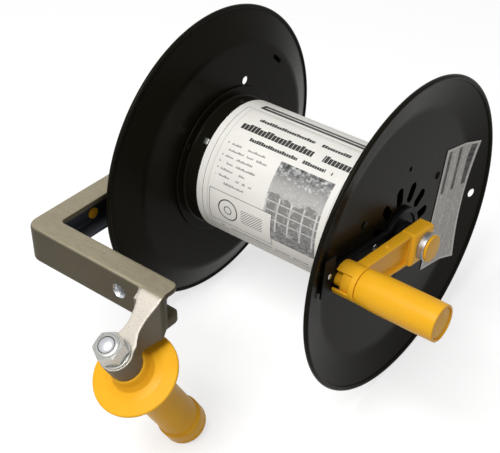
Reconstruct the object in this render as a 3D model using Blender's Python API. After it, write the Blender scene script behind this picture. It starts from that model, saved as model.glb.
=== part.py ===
# Electric fence reel: a drum between two dished steel flanges turns on an axle that a cast frame holds
# from one side. A hand grip hangs under the frame, and a crank at the axle's free end drives the drum
# through a peg that pulls out along its grip.
# Every length is in metres and every angle in degrees. X runs along the axle towards the crank,
# the frame reaches out along -Y, and Z is up.

import math

import bmesh
import bpy
from mathutils import Matrix

# Fits
SEAT_GAP = 0.0003
RUNNING_GAP = 0.0003

# How far a screw or rivet head stands straight, how wide its top is, and where a rounded corner's
# middle point lies, each as a share
HEAD_SIDE = 0.6
HEAD_TOP = 0.8
CORNER_POINT = 0.3

# Facets round each kind of turned piece
RIM_STEPS = 60
DRUM_STEPS = 40
ROUND_STEPS = 24
SMALL_STEPS = 12

# Flanges
FLANGE_RADIUS = 0.127
RIM_SPREAD = 0.1873
RIM_BEAD_RADIUS = 0.002
SHEET_THICKNESS = 0.001
LEFT_DISH_DEPTH = 0.01165
RIGHT_DISH_DEPTH = 0.00765
FLARE_WIDTH = 0.0275
HUB_HOLE_RADIUS = 0.014
SLOT_COUNT = 12
SLOT_RING_RADIUS = 0.033
SLOT_LENGTH = 0.016
SLOT_WIDTH = 0.0085
SQUARE_HOLE_SIDE = 0.0036
SQUARE_HOLE_RADIUS = 0.0535
SQUARE_HOLE_ANGLE = 76.5
RIM_HOLE_RADIUS = 0.00375
RIM_HOLE_OUT = 0.0115
RIM_HOLE_ANGLE = -12.4
WIRE_HOLE_RADIUS = 0.0035
WIRE_HOLE_PLACE = 0.067
WIRE_HOLE_ANGLE = 66.0
TIE_SLOT_LENGTH = 0.013
TIE_SLOT_WIDTH = 0.0035
TIE_SLOT_IN = 0.0063
TIE_SLOT_ANGLE = 42.0

# Drum, its label and the rivets
CORE_RADIUS = 0.0548
CORE_WALL = 0.0025
CORE_LIP_RADIUS = 0.063
CORE_LIP_THICKNESS = 0.0016
CORE_FLARE = 0.0012
LABEL_LENGTH = 0.132
LABEL_THICKNESS = 0.0004
RIVET_COUNT = 3
RIVET_RING_RADIUS = 0.0592
RIVET_FIRST_ANGLE = 142.0
RIVET_SHANK_RADIUS = 0.0019
RIVET_HEAD_RADIUS = 0.0031
RIVET_HEAD_HEIGHT = 0.0012
RIVET_TAIL_RADIUS = 0.0026
RIVET_TAIL_HEIGHT = 0.001
WIRE_TAB_ANGLE = 131.9
WIRE_TAB_SHARE = 0.363
WIRE_TAB_WIDTH = 0.005
WIRE_TAB_THICKNESS = 0.0008
WIRE_TAB_CLEARANCE = 0.00095

# Sticker on the crank side flange
STICKER_WIDTH = 0.0468
STICKER_HEIGHT = 0.105
STICKER_THICKNESS = 0.0003
STICKER_LEAN = 15.1
STICKER_CENTRE_Y = 0.0754
STICKER_CENTRE_Z = -0.0174

# Hub bushes
BUSH_HEAD_RADIUS = 0.018
BUSH_HEAD_THICKNESS = 0.0025
BUSH_NOSE_RADIUS = 0.0118
BUSH_INNER_LENGTH = 0.014

# Axle and what is on it
AXLE_RADIUS = 0.008
AXLE_SHOULDER_RADIUS = 0.0115
AXLE_SHOULDER_THICKNESS = 0.0035
AXLE_STUB_RADIUS = 0.006
AXLE_STUB_SPARE = 0.003
AXLE_BORE_RADIUS = 0.0045
AXLE_BORE_DEPTH = 0.012
WASHER_THICKNESS = 0.0022
WASHER_RADIUS = 0.0115
NUT_ACROSS_FLATS = 0.0196
NUT_HEIGHT = 0.0116
NUT_COLLAR_RADIUS = 0.009
NUT_COLLAR_HEIGHT = 0.0012
COLLAR_WIDTH = 0.005
COLLAR_RADIUS = 0.0109
CAP_RADIUS = 0.0107
CAP_THICKNESS = 0.002
CAP_PLUG_LENGTH = 0.009

# Frame casting
FLANGE_TO_ARM = 0.0049
ARM_WIDTH = 0.0188
ARM_WALL = 0.0062
ARM_TOP_HEIGHT = 0.020
ARM_TOP_THICKNESS = 0.0045
ARM_BOTTOM_THICKNESS = 0.0036
ARM_DEPTH_AT_AXLE = 0.0325
ARM_DEPTH_AT_GRIP = 0.0302
ARM_REACH = 0.185
ARM_END_X = 0.0165
ARM_END_ROUND = 0.006
ARM_CORNER_RADIUS = 0.010
ARM_EDGE_RADIUS = 0.0025
ARM_FILLET = 0.001
AXLE_BOSS_RADIUS = 0.0205
AXLE_BOSS_PROUD = 0.0006
POST_HOLE_RADIUS = 0.00425
POST_HOLE_X = -0.0243
POST_HOLE_HEIGHT = 0.0051
PLUG_REACH = 0.124
PLUG_HEIGHT = -0.0014
PLUG_HOLE_RADIUS = 0.0042
PLUG_HEAD_RADIUS = 0.00485
PLUG_HEAD_THICKNESS = 0.0012

# Hand grip and its bolt, in stations along the grip's axis from the top of the frame's boss
GRIP_LEAN = 28.7
GRIP_X = 0.008
BOSS_TOP_REACH = 0.2221
BOSS_TOP_DROP = 0.0091
BOSS_RADIUS = 0.0125
BOSS_LENGTH = 0.018
LINK_HALF_WIDTH_AT_ARM = 0.0095
LINK_HALF_WIDTH_AT_WAIST = 0.0062
LINK_DEPTH_AT_ARM = 0.0356
LINK_DEPTH_AT_BOSS = 0.0152
BOLT_RADIUS = 0.0059
BOLT_HOLE_RADIUS = 0.0063
BOLT_SPARE = 0.002
BOLT_HEAD_HEIGHT = 0.0075
GRIP_LENGTH = 0.1157
GRIP_TOP_RADIUS = 0.0135
GRIP_NECK_RADIUS = 0.016
GRIP_NECK_LENGTH = 0.0115
GUARD_RADIUS = 0.0323
GUARD_THICKNESS = 0.003
GUARD_DROP = 0.004
GRIP_RADIUS = 0.0155
GRIP_SHOULDER_LENGTH = 0.010
GRIP_END_RADIUS = 0.0172
GRIP_END_LENGTH = 0.0165
GRIP_END_ROUND = 0.003
GRIP_POCKET_RADIUS = 0.0118
GRIP_POCKET_DEPTH = 0.011

# Crank, in lengths along its arm from the axle
CRANK_ANGLE = 169.9
CRANK_STANDOFF = 0.00365
CRANK_RADIUS = 0.0806
CRANK_HUB_HALF_WIDTH = 0.014
CRANK_HUB_BACK_LENGTH = 0.0115
CRANK_HUB_FRONT_LENGTH = 0.0145
CRANK_HUB_THICKNESS = 0.0124
CRANK_HUB_EDGE = 0.002
CRANK_ARM_THICKNESS = 0.0092
CRANK_HALF_WIDTH_AT_HUB = 0.0134
CRANK_HALF_WIDTH_AT_GRIP = 0.0112
CRANK_RAIL_WIDTH = 0.0024
CRANK_PANEL_DEPTH = 0.003
CRANK_PANEL_END = 0.062
CRANK_BUSH_WALL = 0.0022
SOCKET_RADIUS = 0.0132
SOCKET_WALL = 0.0019
SOCKET_BACK_REACH = 0.0063
SOCKET_FRONT_REACH = 0.0022
SOCKET_WINDOW_LENGTH = 0.0135
SOCKET_WINDOW_FROM = -19.5
SOCKET_WINDOW_TO = 45.5

# Drive peg and the grip that turns on it
PEG_RADIUS = 0.0048
PEG_LENGTH = 0.0119
SLEEVE_SET = 0.001
SPINDLE_RADIUS = 0.006
SPINDLE_LENGTH = 0.0508
SCREW_RADIUS = 0.002
SCREW_HEAD_RADIUS = 0.004
SCREW_HEAD_HEIGHT = 0.003
SCREW_DEPTH = 0.011
CRANK_GRIP_LENGTH = 0.063
CRANK_GRIP_RADIUS = 0.0139
CRANK_GRIP_NECK_RADIUS = 0.0132
CRANK_GRIP_WALL = 0.0022
CRANK_GRIP_RIM = 0.0009
GRIP_CAP_THICKNESS = 0.0025
GRIP_WASHER_THICKNESS = 0.0012
GRIP_WASHER_RADIUS = 0.0095

# Drive bar on the crank side flange
DRIVE_BAR_THICKNESS = 0.0036
DRIVE_RING_RADIUS = 0.0225
DRIVE_BAR_LOW_EDGE = -0.010
DRIVE_BAR_HIGH_EDGE = 0.0115
DRIVE_BLOCK_HIGH_EDGE = 0.021
DRIVE_BAR_IN = 0.002
DRIVE_BLOCK_LENGTH = 0.013
DRIVE_BLOCK_OVERHANG = 0.0065
DRIVE_BLOCK_HEIGHT = 0.0038
DRIVE_HOLE_RADIUS = 0.0052
DRIVE_SCREW_RADIUS = 0.0012
DRIVE_SCREW_HEAD_RADIUS = 0.0022
DRIVE_SCREW_HEAD_HEIGHT = 0.001
INNER_SCREW_REACH = 0.040
OUTER_SCREW_IN = 0.0007
DRIVE_SCREW_OFFSET = 0.0065

# Places on the flanges, out from the axle, that follow from the sizes above
CREASE_RADIUS = FLANGE_RADIUS - FLARE_WIDTH
RIM_HOLE_PLACE = CREASE_RADIUS + RIM_HOLE_OUT
TIE_SLOT_PLACE = CREASE_RADIUS - TIE_SLOT_IN
DRIVE_BAR_END = CREASE_RADIUS - DRIVE_BAR_IN
OUTER_SCREW_REACH = DRIVE_BAR_END - OUTER_SCREW_IN

# Places along the axle that follow from the sizes above
LEFT_RIM_X = -RIM_SPREAD / 2
RIGHT_RIM_X = RIM_SPREAD / 2
LEFT_WEB_X = LEFT_RIM_X + LEFT_DISH_DEPTH
RIGHT_WEB_X = RIGHT_RIM_X - RIGHT_DISH_DEPTH
LEFT_FACE_X = LEFT_WEB_X - SHEET_THICKNESS / 2
RIGHT_FACE_X = RIGHT_WEB_X + SHEET_THICKNESS / 2
CORE_LEFT_X = LEFT_WEB_X + SHEET_THICKNESS / 2 + SEAT_GAP
CORE_RIGHT_X = RIGHT_WEB_X - SHEET_THICKNESS / 2 - SEAT_GAP
ARM_INNER_X = LEFT_RIM_X - RIM_BEAD_RADIUS - FLANGE_TO_ARM
ARM_OUTER_X = ARM_INNER_X - ARM_WIDTH
BOSS_INNER_X = ARM_INNER_X + AXLE_BOSS_PROUD
BOSS_OUTER_X = ARM_OUTER_X - AXLE_BOSS_PROUD
SHOULDER_X = BOSS_INNER_X + SEAT_GAP
SHOULDER_END_X = SHOULDER_X + AXLE_SHOULDER_THICKNESS
CRANK_BACK_X = RIGHT_RIM_X + CRANK_STANDOFF
CRANK_HUB_FRONT_X = CRANK_BACK_X + CRANK_HUB_THICKNESS
CRANK_ARM_FRONT_X = CRANK_BACK_X + CRANK_ARM_THICKNESS
COLLAR_X = CRANK_HUB_FRONT_X + RUNNING_GAP
AXLE_END_X = COLLAR_X + COLLAR_WIDTH
NUT_STACK = SEAT_GAP + WASHER_THICKNESS + SEAT_GAP + NUT_HEIGHT + NUT_COLLAR_HEIGHT
AXLE_START_X = BOSS_OUTER_X - NUT_STACK - AXLE_STUB_SPARE
SOCKET_BACK_X = CRANK_BACK_X - SOCKET_BACK_REACH
SOCKET_FRONT_X = CRANK_ARM_FRONT_X + SOCKET_FRONT_REACH
SLEEVE_X = CRANK_BACK_X - SLEEVE_SET
SOCKET_BORE_RADIUS = SOCKET_RADIUS - SOCKET_WALL
SLEEVE_RADIUS = SOCKET_BORE_RADIUS - SEAT_GAP
CRANK_GRIP_X = SOCKET_FRONT_X + SEAT_GAP
CRANK_GRIP_END_X = CRANK_GRIP_X + CRANK_GRIP_LENGTH
SPINDLE_END_X = CRANK_GRIP_X + SPINDLE_LENGTH
BUSH_BORE_RADIUS = AXLE_RADIUS + RUNNING_GAP
CRANK_BUSH_RADIUS = BUSH_BORE_RADIUS + CRANK_BUSH_WALL
LABEL_RADIUS = CORE_RADIUS + SEAT_GAP + LABEL_THICKNESS
SCREW_HOLE_RADIUS = SCREW_RADIUS + SEAT_GAP
FLARE_SLOPE = (RIM_SPREAD / 2 - RIGHT_WEB_X) / (FLANGE_RADIUS - RIM_BEAD_RADIUS - CREASE_RADIUS)

# Stations along the hand grip that follow from the sizes above
GRIP_START = BOSS_LENGTH + SEAT_GAP
GRIP_END = GRIP_START + GRIP_LENGTH
GUARD_STATION = GRIP_START + GRIP_NECK_LENGTH + GUARD_DROP
NUT_CORNER_RADIUS = NUT_ACROSS_FLATS / math.sqrt(3)


def on_grip(station, radius):
    """Reach and height, in the frame's own plane, of the point on the grip's outer side."""
    lean = math.radians(GRIP_LEAN)
    reach = BOSS_TOP_REACH - station * math.sin(lean) + radius * math.cos(lean)
    height = -BOSS_TOP_DROP - station * math.cos(lean) - radius * math.sin(lean)
    return reach, height


def frame_tilt():
    """The angle by which the arms rise, so that the grip's end and both rims stand on one floor."""
    reach, height = on_grip(GRIP_END - GRIP_END_ROUND, GRIP_END_RADIUS - GRIP_END_ROUND)
    drop = FLANGE_RADIUS - GRIP_END_ROUND
    return math.atan2(-height, reach) - math.asin(drop / math.hypot(reach, height))


def frame_reach():
    """How far the frame stands out from the axle, measured level."""
    tilt = frame_tilt()
    corners = (
        (-NUT_STACK + NUT_COLLAR_HEIGHT, NUT_CORNER_RADIUS),
        (-NUT_STACK, NUT_COLLAR_RADIUS),
        (GUARD_STATION, GUARD_RADIUS),
    )
    levels = []
    for station, radius in corners:
        reach, height = on_grip(station, radius)
        levels.append(reach * math.cos(tilt) - height * math.sin(tilt))
    return max(levels)


def clear_scene():
    for thing in list(bpy.data.objects):
        bpy.data.objects.remove(thing)


def look(name, colour, roughness, metallic=0.0):
    material = bpy.data.materials.new(name)
    material.use_nodes = True
    shader = material.node_tree.nodes["Principled BSDF"]
    shader.inputs["Base Color"].default_value = (*colour, 1.0)
    shader.inputs["Roughness"].default_value = roughness
    shader.inputs["Metallic"].default_value = metallic
    return material


def holder(name, parent=None, location=(0, 0, 0), rotation=(0, 0, 0)):
    empty = bpy.data.objects.new(name, None)
    bpy.context.scene.collection.objects.link(empty)
    empty.parent = parent
    empty.location = location
    empty.rotation_euler = rotation
    return empty


def placed(name, mesh, parent, location=(0, 0, 0), rotation=(0, 0, 0)):
    """An object from a bmesh, smooth but for its sharp edges."""
    bmesh.ops.remove_doubles(mesh, verts=mesh.verts, dist=1e-6)
    bmesh.ops.recalc_face_normals(mesh, faces=mesh.faces)
    data = bpy.data.meshes.new(name)
    mesh.to_mesh(data)
    mesh.free()
    data.shade_smooth()
    data.set_sharp_from_angle(angle=math.radians(35))
    thing = bpy.data.objects.new(name, data)
    bpy.context.scene.collection.objects.link(thing)
    thing.parent = parent
    thing.location = location
    thing.rotation_euler = rotation
    return thing


def piece(name, mesh, material, parent, location=(0, 0, 0), rotation=(0, 0, 0)):
    thing = placed(name, mesh, parent, location, rotation)
    thing.data.materials.append(material)
    return thing


def combine(thing, name, mesh, parent, operation, location=(0, 0, 0)):
    """Cuts a helper's shape from an object, or joins it on."""
    helper = placed(name, mesh, parent, location)
    helper.hide_render = True
    helper.display_type = "WIRE"
    step = thing.modifiers.new(name, "BOOLEAN")
    step.solver = "EXACT"
    step.operation = operation
    step.object = helper
    return helper


def turned(profile, steps):
    """A solid of revolution about X from points of (station, radius)."""
    mesh = bmesh.new()
    verts = [mesh.verts.new((station, radius, 0)) for station, radius in profile]
    edges = [mesh.edges.new(pair) for pair in zip(verts, verts[1:])]
    if min(radius for _, radius in profile) > 0:
        edges.append(mesh.edges.new((verts[-1], verts[0])))
    axis = (1, 0, 0)
    centre = (0, 0, 0)
    bmesh.ops.spin(
        mesh, geom=verts + edges, cent=centre, axis=axis, angle=math.tau, steps=steps, use_merge=True
    )
    return mesh


def ring(start, end, bore, radius, steps):
    return turned([(start, bore), (start, radius), (end, radius), (end, bore)], steps)


def rod(start, end, radius, steps):
    return turned([(start, 0), (start, radius), (end, radius), (end, 0)], steps)


def add_loft(mesh, outlines):
    """Adds a closed solid through outlines that have the same number of points."""
    loops = [[mesh.verts.new(point) for point in outline] for outline in outlines]
    for first, second in zip(loops, loops[1:]):
        for i, vert in enumerate(first):
            after = (i + 1) % len(first)
            mesh.faces.new((vert, first[after], second[after], second[i]))
    mesh.faces.new(loops[0][::-1])
    mesh.faces.new(loops[-1])


def loft(outlines):
    mesh = bmesh.new()
    add_loft(mesh, outlines)
    return mesh


def add_shape(mesh, shape, matrix):
    """Adds another bmesh, moved by a matrix."""
    shape.transform(matrix)
    data = bpy.data.meshes.new("shape")
    shape.to_mesh(data)
    shape.free()
    mesh.from_mesh(data)
    bpy.data.meshes.remove(data)


def along_x(outline, start, end):
    """Two copies of an outline of (y, z) points, for a solid that runs along X."""
    return [[(x, y, z) for y, z in outline] for x in (start, end)]


def circle(radius, steps, centre=(0, 0)):
    angles = [math.tau * i / steps for i in range(steps)]
    return [(centre[0] + radius * math.cos(a), centre[1] + radius * math.sin(a)) for a in angles]


def at_angle(radius, degrees):
    angle = math.radians(degrees)
    return radius * math.cos(angle), radius * math.sin(angle)


def turned_outline(outline, radius, degrees):
    """An outline drawn as (outward, sideways), moved out to a radius and turned about the axle."""
    cosine, sine = at_angle(1, degrees)
    moved = [(radius + out, side) for out, side in outline]
    return [(out * cosine - side * sine, out * sine + side * cosine) for out, side in moved]


def rectangle(length, width):
    return [
        (-length / 2, -width / 2),
        (length / 2, -width / 2),
        (length / 2, width / 2),
        (-length / 2, width / 2),
    ]


def pointed_slot(length, width):
    straight = length / 2 - width / 2
    return [
        (-length / 2, 0),
        (-straight, -width / 2),
        (straight, -width / 2),
        (length / 2, 0),
        (straight, width / 2),
        (-straight, width / 2),
    ]


def crank_turn():
    """Turns a holder about the axle until its -Y points along the crank."""
    return (math.radians(CRANK_ANGLE - 180), 0, 0)


def drive_hole_outline(radius, reach, offset=0.0):
    """A round hole at a reach along the crank and an offset above it, as (y, z) about the axle."""
    angle = CRANK_ANGLE - math.degrees(math.atan2(offset, reach))
    return turned_outline(circle(radius, SMALL_STEPS), math.hypot(reach, offset), angle)


def rivet_angles():
    return [RIVET_FIRST_ANGLE + 360 * i / RIVET_COUNT for i in range(RIVET_COUNT)]


def rivet_holes():
    holes = circle(RIVET_SHANK_RADIUS + SEAT_GAP, SMALL_STEPS)
    return [turned_outline(holes, RIVET_RING_RADIUS, angle) for angle in rivet_angles()]


def slot_holes():
    slot = pointed_slot(SLOT_LENGTH, SLOT_WIDTH)
    return [turned_outline(slot, SLOT_RING_RADIUS, 360 * i / SLOT_COUNT) for i in range(SLOT_COUNT)]


def flange(name, web_x, rim_x, holes, material, parent):
    """A dished sheet with a rolled bead at its rim, cut through by its holes."""
    side = math.copysign(1, rim_x - web_x)
    half = SHEET_THICKNESS / 2
    bead_centre = FLANGE_RADIUS - RIM_BEAD_RADIUS
    flare = math.atan2(abs(rim_x - web_x), bead_centre - CREASE_RADIUS)
    entry = math.asin(half / RIM_BEAD_RADIUS)
    bead = []
    bead_points = 8
    for i in range(bead_points):
        turn = entry + (math.tau - 2 * entry) * i / (bead_points - 1)
        angle = flare + math.pi + turn
        outward = rim_x + side * RIM_BEAD_RADIUS * math.sin(angle)
        bead.append((outward, bead_centre + RIM_BEAD_RADIUS * math.cos(angle)))
    inner = [(web_x - side * half, HUB_HOLE_RADIUS), (web_x - side * half, CREASE_RADIUS)]
    outer = [(web_x + side * half, CREASE_RADIUS), (web_x + side * half, HUB_HOLE_RADIUS)]
    far = abs(bead[0][0] - inner[1][0])
    near = abs(bead[-1][0] - inner[1][0])
    profile = inner + (bead if far < near else bead[::-1]) + outer
    body = piece(name, turned(profile, RIM_STEPS), material, parent)
    cutter = bmesh.new()
    for outline in holes:
        add_loft(cutter, along_x(outline, web_x - side * FLANGE_TO_ARM, rim_x + side * FLANGE_TO_ARM))
    combine(body, name + "_holes", cutter, parent, "DIFFERENCE")


def left_flange(material, parent):
    wire_hole = circle(WIRE_HOLE_RADIUS, SMALL_STEPS)
    holes = slot_holes() + rivet_holes()
    holes.append(turned_outline(wire_hole, WIRE_HOLE_PLACE, WIRE_HOLE_ANGLE))
    holes.append(turned_outline(rectangle(TIE_SLOT_WIDTH, TIE_SLOT_LENGTH), TIE_SLOT_PLACE, TIE_SLOT_ANGLE))
    flange("left_flange", LEFT_WEB_X, LEFT_RIM_X, holes, material, parent)


def right_flange(material, parent):
    holes = slot_holes() + rivet_holes()
    square = rectangle(SQUARE_HOLE_SIDE, SQUARE_HOLE_SIDE)
    holes.append(turned_outline(square, SQUARE_HOLE_RADIUS, SQUARE_HOLE_ANGLE))
    holes.append(turned_outline(circle(RIM_HOLE_RADIUS, SMALL_STEPS), RIM_HOLE_PLACE, RIM_HOLE_ANGLE))
    holes.append(drive_hole_outline(DRIVE_HOLE_RADIUS, CRANK_RADIUS))
    for reach in (INNER_SCREW_REACH, OUTER_SCREW_REACH):
        holes.append(drive_hole_outline(DRIVE_SCREW_RADIUS + SEAT_GAP, reach, DRIVE_SCREW_OFFSET))
    flange("right_flange", RIGHT_WEB_X, RIGHT_RIM_X, holes, material, parent)


def drum_core(material, parent):
    """A tube with a lip turned out at each end, riveted to the flanges."""
    bore = CORE_RADIUS - CORE_WALL
    left_lip = CORE_LEFT_X + CORE_LIP_THICKNESS
    right_lip = CORE_RIGHT_X - CORE_LIP_THICKNESS
    profile = [
        (CORE_LEFT_X, bore),
        (CORE_LEFT_X, CORE_LIP_RADIUS),
        (left_lip, CORE_LIP_RADIUS),
        (left_lip, CORE_RADIUS + CORE_FLARE),
        (left_lip + CORE_FLARE, CORE_RADIUS),
        (right_lip - CORE_FLARE, CORE_RADIUS),
        (right_lip, CORE_RADIUS + CORE_FLARE),
        (right_lip, CORE_LIP_RADIUS),
        (CORE_RIGHT_X, CORE_LIP_RADIUS),
        (CORE_RIGHT_X, bore),
    ]
    core = piece("drum_core", turned(profile, DRUM_STEPS), material, parent)
    cutter = bmesh.new()
    for outline in rivet_holes():
        add_loft(cutter, along_x(outline, LEFT_FACE_X, left_lip + SEAT_GAP))
        add_loft(cutter, along_x(outline, right_lip - SEAT_GAP, RIGHT_FACE_X))
    combine(core, "drum_core_holes", cutter, parent, "DIFFERENCE")


def drum_label(material, parent):
    bore = CORE_RADIUS + SEAT_GAP
    sleeve = ring(-LABEL_LENGTH / 2, LABEL_LENGTH / 2, bore, LABEL_RADIUS, DRUM_STEPS)
    piece("drum_label", sleeve, material, parent)


def wire_tab(material, parent):
    """The small plate on the drum that holds the wire's first end."""
    low = CORE_RADIUS + SEAT_GAP
    high = low + WIRE_TAB_THICKNESS
    half = WIRE_TAB_WIDTH / 2
    outline = turned_outline([(low, -half), (high, -half), (high, half), (low, half)], 0, WIRE_TAB_ANGLE)
    end = -LABEL_LENGTH / 2
    room = end - CORE_LEFT_X - CORE_LIP_THICKNESS - CORE_FLARE
    end -= WIRE_TAB_CLEARANCE
    start = end - WIRE_TAB_SHARE * room
    piece("wire_tab", loft(along_x(outline, start, end)), material, parent)


def rivet(name, face_x, side, angle, material, parent):
    """Its head lies outside the flange and its tail inside the drum's lip."""
    tail = -SHEET_THICKNESS - SEAT_GAP - CORE_LIP_THICKNESS - SEAT_GAP
    rises = [
        (tail - RIVET_TAIL_HEIGHT, 0),
        (tail - RIVET_TAIL_HEIGHT, RIVET_TAIL_RADIUS),
        (tail, RIVET_TAIL_RADIUS),
        (tail, RIVET_SHANK_RADIUS),
        (SEAT_GAP, RIVET_SHANK_RADIUS),
        (SEAT_GAP, RIVET_HEAD_RADIUS),
        (SEAT_GAP + RIVET_HEAD_HEIGHT * HEAD_SIDE, RIVET_HEAD_RADIUS * HEAD_TOP),
        (SEAT_GAP + RIVET_HEAD_HEIGHT, 0),
    ]
    profile = [(face_x + side * rise, radius) for rise, radius in rises]
    place = (0, *at_angle(RIVET_RING_RADIUS, angle))
    piece(name, turned(profile, SMALL_STEPS), material, parent, place)


def rivets(material, parent):
    for i, angle in enumerate(rivet_angles()):
        rivet(f"left_rivet_{i + 1}", LEFT_FACE_X, -1, angle, material, parent)
        rivet(f"right_rivet_{i + 1}", RIGHT_FACE_X, 1, angle, material, parent)


def hub_bush(name, face_x, side, nose_x, material, parent):
    """Fills the flange's middle hole and carries the drum on the axle."""
    head = face_x + side * SEAT_GAP
    head_end = head + side * BUSH_HEAD_THICKNESS
    inside = face_x - side * BUSH_INNER_LENGTH
    barrel = HUB_HOLE_RADIUS - SEAT_GAP
    profile = [
        (inside, BUSH_BORE_RADIUS),
        (inside, barrel),
        (head, barrel),
        (head, BUSH_HEAD_RADIUS),
        (head_end, BUSH_HEAD_RADIUS),
        (head_end, BUSH_NOSE_RADIUS),
        (nose_x, BUSH_NOSE_RADIUS),
        (nose_x, BUSH_BORE_RADIUS),
    ]
    piece(name, turned(profile, ROUND_STEPS), material, parent)


def flange_sticker(material, parent):
    """A thin rectangle on the crank side flange, bent up along the flared band."""
    columns = 10
    rows = 8
    mesh = bmesh.new()
    across = at_angle(1, -STICKER_LEAN)
    up = at_angle(1, 90 - STICKER_LEAN)
    layers = []
    for lift in (SEAT_GAP, SEAT_GAP + STICKER_THICKNESS):
        layer = []
        for row in range(rows + 1):
            for column in range(columns + 1):
                a = STICKER_WIDTH * (column / columns - 0.5)
                b = STICKER_HEIGHT * (row / rows - 0.5)
                y = STICKER_CENTRE_Y + a * across[0] + b * up[0]
                z = STICKER_CENTRE_Z + a * across[1] + b * up[1]
                climb = max(0, math.hypot(y, z) - CREASE_RADIUS) * FLARE_SLOPE
                layer.append(mesh.verts.new((RIGHT_FACE_X + lift + climb, y, z)))
        layers.append(layer)
    width = columns + 1
    for row in range(rows):
        for column in range(columns):
            i = row * width + column
            corners = (i, i + 1, i + 1 + width, i + width)
            mesh.faces.new([layers[1][c] for c in corners])
            mesh.faces.new([layers[0][c] for c in corners[::-1]])
    last = width * (rows + 1) - 1
    border = list(range(columns)) + [columns + width * row for row in range(rows)]
    border += [last - i for i in range(columns)] + [width * row for row in range(rows, 0, -1)]
    for first, second in zip(border, border[1:] + border[:1]):
        mesh.faces.new((layers[0][first], layers[0][second], layers[1][second], layers[1][first]))
    piece("flange_sticker", mesh, material, parent)


def drive_bar(material, parent):
    """A ring round the hub and a bar under the crank, with the hole that the peg drops into."""
    back = RIGHT_FACE_X + SEAT_GAP
    start = math.asin(DRIVE_BAR_HIGH_EDGE / DRIVE_RING_RADIUS)
    end = math.tau + math.asin(DRIVE_BAR_LOW_EDGE / DRIVE_RING_RADIUS)
    arc_steps = 24
    outline = [(DRIVE_BAR_END, DRIVE_BAR_LOW_EDGE), (DRIVE_BAR_END, DRIVE_BAR_HIGH_EDGE)]
    for i in range(arc_steps + 1):
        angle = start + (end - start) * i / arc_steps
        outline.append((DRIVE_RING_RADIUS * math.cos(angle), DRIVE_RING_RADIUS * math.sin(angle)))
    outline = [(-along, above) for along, above in outline]
    bar = piece("drive_bar", loft(along_x(outline, back, back + DRIVE_BAR_THICKNESS)), material, parent)
    block_end = DRIVE_BAR_END + DRIVE_BLOCK_OVERHANG
    corner = math.hypot(block_end, DRIVE_BLOCK_HIGH_EDGE)
    lift = max(0, corner - CREASE_RADIUS) * FLARE_SLOPE + SEAT_GAP
    inset = SEAT_GAP
    block = [
        (-block_end, DRIVE_BAR_LOW_EDGE + inset),
        (-block_end, DRIVE_BLOCK_HIGH_EDGE),
        (DRIVE_BLOCK_LENGTH - block_end, DRIVE_BLOCK_HIGH_EDGE),
        (DRIVE_BLOCK_LENGTH - block_end, DRIVE_BAR_LOW_EDGE + inset),
    ]
    block_mesh = loft(along_x(block, back + lift, back + DRIVE_BLOCK_HEIGHT))
    combine(bar, "drive_block", block_mesh, parent, "UNION")
    cutter = bmesh.new()
    front = back + DRIVE_BLOCK_HEIGHT + SEAT_GAP
    add_loft(cutter, along_x(circle(BUSH_HEAD_RADIUS + SEAT_GAP, ROUND_STEPS), RIGHT_WEB_X, front))
    add_loft(cutter, along_x(circle(DRIVE_HOLE_RADIUS, SMALL_STEPS, (-CRANK_RADIUS, 0)), RIGHT_WEB_X, front))
    for reach in (INNER_SCREW_REACH, OUTER_SCREW_REACH):
        centre = (-reach, DRIVE_SCREW_OFFSET)
        hole = circle(DRIVE_SCREW_RADIUS + SEAT_GAP, SMALL_STEPS, centre)
        add_loft(cutter, along_x(hole, RIGHT_WEB_X, front))
    combine(bar, "drive_bar_holes", cutter, parent, "DIFFERENCE")


def drive_screw(name, reach, bar_top, material, parent):
    seat = RIGHT_FACE_X + SEAT_GAP + bar_top + SEAT_GAP
    profile = [
        (RIGHT_WEB_X - SHEET_THICKNESS, 0),
        (RIGHT_WEB_X - SHEET_THICKNESS, DRIVE_SCREW_RADIUS),
        (seat, DRIVE_SCREW_RADIUS),
        (seat, DRIVE_SCREW_HEAD_RADIUS),
        (seat + DRIVE_SCREW_HEAD_HEIGHT * HEAD_SIDE, DRIVE_SCREW_HEAD_RADIUS * HEAD_TOP),
        (seat + DRIVE_SCREW_HEAD_HEIGHT, 0),
    ]
    place = (0, -reach, DRIVE_SCREW_OFFSET)
    piece(name, turned(profile, SMALL_STEPS), material, parent, place)


def axle(material, parent):
    """A bar with a shoulder that bears on the frame and a threaded stub through it."""
    profile = [
        (AXLE_START_X, 0),
        (AXLE_START_X, AXLE_STUB_RADIUS - AXLE_STUB_SPARE / 3),
        (AXLE_START_X + AXLE_STUB_SPARE / 3, AXLE_STUB_RADIUS),
        (SHOULDER_X, AXLE_STUB_RADIUS),
        (SHOULDER_X, AXLE_SHOULDER_RADIUS),
        (SHOULDER_END_X, AXLE_SHOULDER_RADIUS),
        (SHOULDER_END_X, AXLE_RADIUS),
        (AXLE_END_X, AXLE_RADIUS),
        (AXLE_END_X, AXLE_BORE_RADIUS),
        (AXLE_END_X - AXLE_BORE_DEPTH, AXLE_BORE_RADIUS),
        (AXLE_END_X - AXLE_BORE_DEPTH, 0),
    ]
    piece("axle", turned(profile, ROUND_STEPS), material, parent)


def washer(name, seat_x, bore, material, parent):
    """Lies on a face that looks along -X."""
    front = seat_x - SEAT_GAP
    piece(name, ring(front - WASHER_THICKNESS, front, bore, WASHER_RADIUS, ROUND_STEPS), material, parent)


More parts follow.
